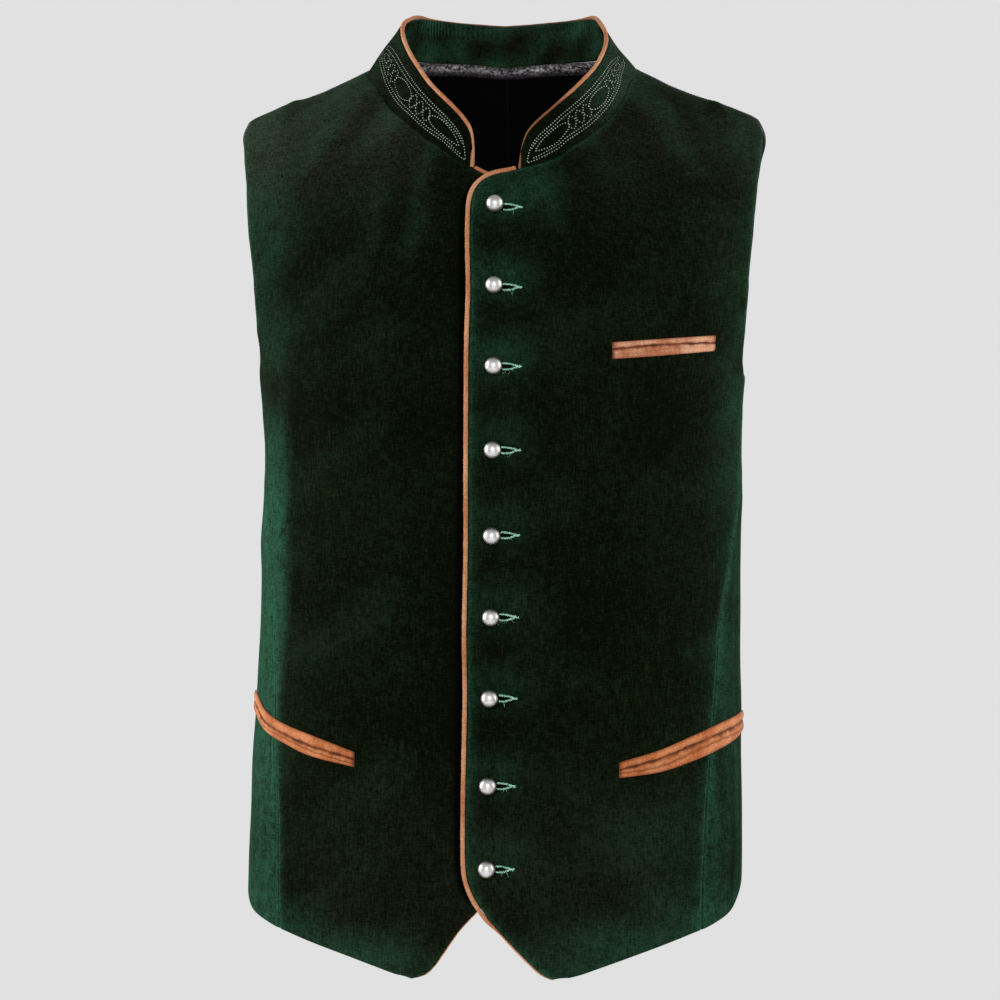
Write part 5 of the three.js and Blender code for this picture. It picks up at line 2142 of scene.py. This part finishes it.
@dataclass
class Pocket:
    """Two suede welts with the pocket's slit between them."""

    cutting: Cutting
    name: str
    side: Side
    table: Sequence[WeltPoint]
    cut_length: float
    cut_widths: tuple[float, float]
    rosy: bool = False
    seat: float = 0.3
    edge: float = 1.25
    crown: float = 1.9

    def _strip(self, part: str, top: Curve, bottom: Curve, insets: tuple[float, float]) -> bpy.types.Object:
        """Builds one strip between two lines of the edging.

        Args:
            part: upper or lower.
            top: the strip's upper line.
            bottom: its lower line.
            insets: how far it stays off these lines.

        Returns:
            The strip, dressed.
        """
        lower = part == "lower"
        first, last = self.table[0].turn, self.table[-1].turn
        turn = np.linspace(first, last, 120)[None, :]
        share = np.linspace(0, 1, 15)[:, None]
        z = (top(turn) - insets[0]) * share + (bottom(turn) + insets[1]) * (1 - share)
        seed = len(self.name) + (8 if lower else 3)
        ripple = 0.10 * np.sin(turn * 2.9 + seed) + 0.07 * np.sin(turn * 5.1 + seed * 2)
        round_over = np.sin(math.pi * (0.03 + 0.94 * share)) ** 0.7
        low = self.edge * 0.5
        lift = low + (self.crown - low) * round_over + ripple * round_over
        spot = self.cutting.cloth.spot
        outer, _ = spot(self.side, self.side.value * turn, z, lift)
        inner, _ = spot(self.side, self.side.value * turn, z, self.seat)
        mesh = wall_mesh(outer, inner, Lips(0.12, 0.12, 0.35, 0.35))
        beat = np.sin(turn * 0.63 + seed) * np.sin(turn * 0.27 + 2 * seed)
        rub = 0.25 + 0.5 * beat + 0.35 * bell(share - 0.55, 0.3)
        if self.rosy:
            patch = smoothstep(turn, first + 17, first + 22)
            rub = rub - 0.25 + (1.1 * patch if lower else 0.3)
        # Painted shade: in the slit, along the strip's outer edge, on a line across the lower strip and at
        # both ends.
        slit = 1.0 if lower else 0.0
        depth = 0.85 + 0.4 * np.sin(turn * 0.83 + seed) * np.sin(turn * 0.31 + seed)
        reach = 0.13 + 0.05 * np.sin(turn * 1.37 + seed) + 0.03 * np.sin(turn * 3.1)
        painted_shade = depth * bell(share - slit, reach) + 0.35 * bell(share - (1 - slit), 0.10)
        if lower:
            bow = 0.09 * np.sin(turn * 0.21 + seed) + 0.03 * np.sin(turn * 1.9)
            painted_shade = painted_shade + (0.15 if self.rosy else 0.5) * bell(share - 0.52 - bow, 0.09)
        painted_shade = painted_shade + 0.6 * bell(np.minimum(turn - first, last - turn), 0.5)
        fields = {
            "worn": spread(mesh, np.clip(rub - painted_shade, 0, 1), 0.15, 0.15),
            "painted_shade": spread(mesh, np.clip(painted_shade, 0, 1), 0.5, 0.5),
        }
        suede = Finish.ROSY_SUEDE if self.rosy else Finish.SUEDE
        piece = build_object(self.name + "_" + part, mesh, [suede, suede], **fields)
        dress(piece, Slot.SUEDE, "welt_" + self.name.split("_")[1] + "_" + part)
        width = self.cut_widths[1 if lower else 0]
        self.cut_length * width
        return piece

    def make(self) -> list[bpy.types.Object]:
        """Builds both strips.

        Returns:
            The upper and the lower strip.
        """
        above, slit, below = curves(self.table)
        inset = SEAM_GAP / 2
        upper = self._strip("upper", above, slit, (0, inset))
        return [upper, self._strip("lower", slit, below, (inset, 0))]


# Buttons and buttonholes


def closing_spot(cutting: Cutting, x: Number, z: Number, lift: Number = 0.0) -> tuple[Array, Array]:
    """Points of the left front near the closing, named by x and z."""
    x, z = np.broadcast_arrays(np.asarray(x, float), np.asarray(z, float))
    return cutting.cloth.spot(Side.LEFT, cutting.body.turn_at(x, z), z, lift)


@dataclass
class Buttonholes:
    """Worked buttonholes: a drop-shaped slit edged with mint thread."""

    cutting: Cutting
    slit: float = 16.5
    starts: float = 7.2
    spread: float = 2.1
    depth: float = 6.0
    meets: float = 16.8
    ends: float = 20.2
    thread: float = 0.33
    hair: float = 0.15

    def cut(self, cloth: bpy.types.Object) -> None:
        """Cuts the nine holes through the left front.

        Args:
            cloth: the left front.
        """
        angles = np.linspace(math.pi / 2, 3 * math.pi / 2, 9)
        tip = np.linspace(-math.pi / 2, math.pi / 2, 5)
        x = np.concatenate([1.7 * np.cos(angles) - 0.8, self.slit + 0.6 * np.cos(tip)])
        y = np.concatenate([1.7 * np.sin(angles), 0.6 * np.sin(tip)])
        holes = []
        for button in BUTTONS:
            foot, across, up, normal = button_frame(self.cutting.body, button)
            outline = foot + x[:, None] * across + y[:, None] * up
            holes.append(ringed(np.stack([outline - self.depth * normal, outline + self.depth * normal])))
        cutter = build_object("buttonhole_cutter", joined(holes), [])
        cutter.data.shade_flat()
        modifier = cloth.modifiers.new("buttonholes", "BOOLEAN")
        modifier.operation = "DIFFERENCE"
        modifier.solver = "EXACT"
        modifier.object = cutter
        graph = bpy.context.evaluated_depsgraph_get()
        cut_mesh = bpy.data.meshes.new_from_object(cloth.evaluated_get(graph))
        cloth.modifiers.clear()
        cloth.data = cut_mesh
        bpy.data.objects.remove(cutter)

    def make_thread(self) -> bpy.types.Object:
        """Builds the overcast edges and the bars.

        Returns:
            The thread.
        """
        chance = np.random.default_rng(12)
        rows = []
        for button in BUTTONS:
            for way in (1, -1):
                count = 19
                t = np.linspace(0, 1, count) + chance.normal(0, 0.012, count)
                x = button.x + self.starts - 1 + (self.meets - self.starts + 1) * t
                open_way = 1 - 0.80 * t**1.9
                sag = -0.5 * np.sin(math.pi * t) if way < 0 else 0
                z = button.z + way * self.spread * open_way + chance.normal(0, 0.10, count) + sag
                spot, normal = closing_spot(self.cutting, x, z)
                lean = chance.normal(0.75, 0.25, count)
                tangent = np.stack([lean, 0 * lean, np.full(count, way * 0.95)], axis=-1)
                rows.append((spot, tangent, normal, chance.uniform(1.3, 1.9, count)))
            count = 12
            t = np.linspace(0, 1, count)
            x = button.x + self.meets - 0.6 + (self.ends - self.meets) * t
            z = button.z + chance.normal(0, 0.28, count) - 0.4 * t
            spot, normal = closing_spot(self.cutting, x, z, 0.15)
            tangent = np.stack([0.9 + 0 * t, 0 * t, chance.normal(0, 0.55, count)], axis=-1)
            rows.append((spot, tangent, normal, chance.uniform(1.5, 2.3, count)))
        centre, along, normal, length = (np.concatenate(part) for part in zip(*rows))
        radius = self.thread * chance.uniform(0.8, 1.1, len(centre))
        mesh = stitch_mesh(centre, along, normal, length, radius)
        return dress(build_object("thread_buttonholes", mesh, [Finish.MINT]), Slot.VELVET)

    def make_loose_ends(self) -> bpy.types.Object:
        """Builds the hair-thin loose ends that hang from some buttonholes.

        Returns:
            The loose ends.
        """
        chance = np.random.default_rng(5)
        t = np.linspace(0, 1, 7)
        thick = np.full(len(t), self.hair)
        hairs = []
        for k, button in enumerate(BUTTONS):
            for _ in range(2 + (k % 3)):
                start = chance.uniform(8, 15)
                drop = chance.uniform(1.0, 4.5)
                x = button.x + start + chance.uniform(-4, 3) * t
                z = button.z - self.spread * 0.8 - drop * t + 0.5 * np.sin(t * 5 + k)
                spot, normal = closing_spot(self.cutting, x, z, 0.25 + 0.3 * np.sin(t * 3))
                beside = np.cross(unit(np.gradient(spot, axis=0)), normal)
                hairs.append(cord_mesh(spot, beside, normal, thick, thick, 6))
        return dress(build_object("thread_loose_ends", joined(hairs), [Finish.MINT]), Slot.VELVET)


@dataclass
class Button:
    """A satin metal ball on a shank, through its buttonhole."""

    cutting: Cutting
    number: int
    place: EdgePoint
    ball: float = 6.3
    shank: float = 1.2
    foot: float = -1.0
    clearance: float = 0.3
    lift: float = 1.3
    sides: int = 56

    def make(self) -> bpy.types.Object:
        """Builds the button and dresses it.

        Returns:
            The button.
        """
        foot, across, up, normal = button_frame(self.cutting.body, self.place)
        middle = self.lift + self.clearance + self.ball
        angle = np.linspace(math.asin(self.shank / self.ball), math.pi - 0.03, 34)
        radius = np.concatenate([np.full(3, self.shank), self.ball * np.sin(angle)])
        height = np.concatenate([[self.foot, 0.0, 0.9], middle - self.ball * np.cos(angle)])
        around = np.arange(self.sides) / self.sides * 2 * math.pi
        ring = np.cos(around)[:, None] * across + np.sin(around)[:, None] * up
        rings = foot + radius[:, None, None] * ring + height[:, None, None] * normal
        # Painted reflection: dark over the shank, the back half and round the rim, bright on the front.
        rim = np.concatenate([np.ones(3), 1 - smoothstep(angle, 1.7, 2.5)])
        dark = np.repeat(rim, self.sides)
        piece = build_object(f"ball_button_{self.number}", ringed(rings), [Finish.METAL], tarnished=dark)
        return dress(piece, Slot.METAL, f"button_{self.number}")


# Sewing and ornament


@dataclass
class Ornament:
    """Stitched ornament on one end of the collar: a leaf with an interlace."""

    form: CollarForm
    side: Side
    starts: float = 5.5
    length: float = 130.0
    pitch: float = 2.2
    stitch: float = 0.8
    thread: float = 0.33

    def __post_init__(self) -> None:
        """Reads the leaf's two edges and measures the collar."""
        self.low, self.high = curves(LEAF)
        self.turns = self.side.value * np.linspace(COLLAR_END[self.side], 100, 300)
        self.reach = walked(self.form.point(self.turns, np.full_like(self.turns, 0.4)))

    def _surface(self, along: Array, share: Array) -> tuple[Array, Array]:
        """Places of the collar by their shares along and up the leaf.

        Args:
            along: shares of the leaf's length.
            share: shares of the collar's height.

        Returns:
            The points and their normals.
        """
        turn = np.interp(self.starts + along * self.length, self.reach, self.turns)
        point = self.form.point(turn, share)
        across = self.form.point(turn + self.side.value * 0.4, share) - point
        up = self.form.point(turn, share + 0.02) - point
        return point, unit(np.cross(across, up)) * self.side.value

    def _lines(self) -> list[tuple[Array, Array]]:
        """The ornament's lines as shares along and up the collar.

        Returns:
            Each line's shares along and up.
        """
        t = np.linspace(0, 1, 160)
        low, high = self.low(t), self.high(t)
        lines = [(t, low), (t, high)]
        inner = np.linspace(0.035, 0.965, 150)
        thick = 0.075
        lines.append((inner, self.low(inner) + thick))
        lines.append((inner, self.high(inner) - thick))
        inset_low = Curve(t, low + thick + 0.05)
        inset_high = Curve(t, high - thick - 0.05)

        def between(at: Array, share: Array) -> Array:
            """Heights between the inner rows, from -1 to 1."""
            low, high = inset_low(at), inset_high(at)
            return (low + high) / 2 + np.maximum((high - low) / 2, 0.0) * share

        loops = ((0.185, 0.125, 0.95), (0.585, 0.105, 0.95), (0.885, 0.045, 0.8))
        for centre, reach, fill in loops:
            a = np.linspace(0, 2 * math.pi, 110)
            at = centre + reach * np.cos(a)
            lines.append((at, between(at, fill * np.sin(a) * np.abs(np.sin(a)) ** 0.15)))
        for start, end, waves in ((0.30, 0.49, 1.5), (0.68, 0.85, 1.5)):
            strand = np.linspace(start, end, 60)
            phase = (strand - start) / (end - start) * waves * 2 * math.pi
            lines.append((strand, between(strand, 0.9 * np.sin(phase))))
            lines.append((strand, between(strand, -0.9 * np.sin(phase))))
        return lines

    def make(self) -> bpy.types.Object:
        """Builds every stitch of the ornament.

        Returns:
            The ornament.
        """
        chance = np.random.default_rng(30 + self.side.value)
        rows = []
        for at, share in self._lines():
            *row, index = stitch_row(*self._surface(at, share), self.pitch)
            rows.append((*row, np.interp(index, np.arange(len(at)), at)))
        centre, along, normal, far = (np.concatenate(part) for part in zip(*rows))
        count = len(centre)
        along = along + chance.normal(0, 0.09, (count, 3))
        length = self.stitch * chance.uniform(0.82, 1.12, count)
        radius = self.thread * chance.uniform(0.85, 1.1, count)
        fade = 0.34 if self.side is Side.LEFT else 0.52
        radius = radius * (1 - fade * smoothstep(far, 0.35, 0.95))
        mesh = stitch_mesh(centre, along, normal, length, radius)
        name = "thread_ornament_" + self.side.label
        return dress(build_object(name, mesh, [Finish.PALE_THREAD]), Slot.VELVET)


@dataclass
class SeamStitches:
    """Fine green stitches beside the seams of the velvet."""

    cutting: Cutting
    pitch: float = 2.9
    stitch: float = 2.0
    thread: float = 0.16

    def _row(self, side: Side, turn: Array, z: Array) -> tuple[Array, ...]:
        """Middles, directions and normals of one row of stitches."""
        return stitch_row(*self.cutting.cloth.spot(side, turn, z, 0.02), self.pitch)[:3]

    def make(self) -> bpy.types.Object:
        """Builds the rows beside the front seams and armholes.

        Returns:
            The stitches.
        """
        rows = []
        cut = self.cutting
        share = np.linspace(0.005, 0.995, 260)
        for side in Side:
            for line, away in ((cut.front_seam(side), 1.9), (cut.armhole(side, ARMHOLE_FRONT), 2.6)):
                turn, z = line.at(share)
                rows.append(self._row(side, cut.nudge(turn, z, -side.value * away), z))
        centre, along, normal = (np.concatenate(part) for part in zip(*rows))
        mesh = stitch_mesh(centre, along, normal, self.stitch, self.thread)
        return dress(build_object("thread_seams", mesh, [Finish.GREEN_THREAD]), Slot.VELVET)


# Studio


@dataclass
class Studio:
    """Pale floor, soft lights and a camera at the photo's angle."""

    target: tuple[float, float, float] = (-0.00225, 0.0, -0.321)
    turned: float = 2.6
    distance: float = 3.2
    focal: float = 153.6
    backdrop: float = 0.752
    fill: float = 0.34
    floor_radii: tuple[float, ...] = (0.5, 1.2, 2.0, 2.6)
    floor_at: float = -1.45

    def make_floor(self) -> bpy.types.Object:
        """Builds the round floor below the garment.

        Returns:
            The floor.
        """
        angle = np.linspace(0, 2 * math.pi, 97)[:-1]
        ring = np.stack([np.cos(angle), np.sin(angle), 0 * angle], axis=-1)
        radii = np.array(self.floor_radii)[:, None, None]
        points = (radii * ring + np.array([0, 0, self.floor_at])).reshape(-1, 3)
        ids = np.arange(len(points)).reshape(len(self.floor_radii), -1)
        faces = [bands(ids)[:, ::-1], ids[:1]]
        mesh = MeshData(points / MILLIMETRE, faces, np.zeros(len(faces[0]) + 1, int))
        floor = build_object("studio_floor", mesh, [Finish.FLOOR])
        return floor

    def make_world(self) -> None:
        """Sets the even backdrop and a softer fill behind it."""
        graph = Graph("studio_world", "worlds")
        bpy.context.scene.world = graph.owner
        seen = graph.node("ShaderNodeLightPath", {}, {})["Is Camera Ray"]
        grey = [(level, level, level, 1) for level in (self.fill, self.backdrop)]
        glow = graph.node("ShaderNodeBackground", {}, {"Color": graph.mix(seen, *grey)})
        graph.node("ShaderNodeOutputWorld", {}, {"Surface": glow["Background"]})

    def add_light(self, light: Light) -> None:
        """Adds a soft box that faces the garment.

        Args:
            light: its name, place, size and power.
        """
        lamp = bpy.data.lights.new(light.name, "AREA")
        lamp.shape = "RECTANGLE"
        lamp.size, lamp.size_y = light.size
        lamp.energy = light.power
        made = bpy.data.objects.new(light.name, lamp)
        bpy.context.scene.collection.objects.link(made)
        made.location = light.place
        made.rotation_euler = facing(np.array(self.target) - np.array(light.place))

    def make_camera(self) -> bpy.types.Object:
        """Sets the camera where the photo was taken from.

        Returns:
            The camera.
        """
        lens = bpy.data.cameras.new("photo_camera")
        lens.lens = self.focal
        lens.sensor_width = 36
        lens.sensor_fit = "HORIZONTAL"
        lens.clip_end = 60
        made = bpy.data.objects.new("photo_camera", lens)
        bpy.context.scene.collection.objects.link(made)
        angle = math.radians(self.turned)
        back = np.array([math.sin(angle), -math.cos(angle), 0.0])
        made.location = np.array(self.target) + back * self.distance
        made.rotation_euler = (math.pi / 2, 0, angle)
        bpy.context.scene.camera = made
        return made

    def make(self) -> None:
        """Builds the whole studio."""
        self.make_floor()
        self.make_world()
        for light in LIGHTS:
            self.add_light(light)
        self.make_camera()
        bpy.context.scene.view_settings.view_transform = "Standard"
        bpy.context.scene.view_settings.look = "None"


def facing(way: Array) -> tuple[float, float, float]:
    """Rotation that turns a light's face along a direction."""
    x, y, z = way / np.linalg.norm(way)
    return (math.acos(max(-1.0, min(1.0, -z))), 0.0, math.atan2(y, x) - math.pi / 2)


def main() -> None:
    """Builds every piece of the waistcoat and the studio round it."""
    logging.basicConfig(level=logging.INFO, format="%(name)s %(message)s")
    cutting = Cutting(ClothForm(BodyForm(SECTIONS), Overlap()))
    for side in Side:
        for part in (Front, SidePanel, Back, FrontPiping):
            part(cutting, side).make()
    form = CollarForm(cutting)
    collar = Collar(form)
    collar.make()
    collar.make_piping()
    collar.make_tape()
    Pocket(cutting, "edging_breast", Side.LEFT, BREAST_POCKET, 0.078, (0.006, 0.0075), True).make()
    Pocket(cutting, "edging_left", Side.LEFT, LEFT_POCKET, 0.112, (0.0085, 0.0125)).make()
    Pocket(cutting, "edging_right", Side.RIGHT, RIGHT_POCKET, 0.112, (0.009, 0.009)).make()
    holes = Buttonholes(cutting)
    holes.make_thread()
    holes.make_loose_ends()
    for number, place in enumerate(BUTTONS, start=1):
        Button(cutting, number, place).make()
    for side in Side:
        Ornament(form, side).make()
    SeamStitches(cutting).make()
    Studio().make()
    LOG.info("all pieces made")


if __name__ == "__main__":
    main()
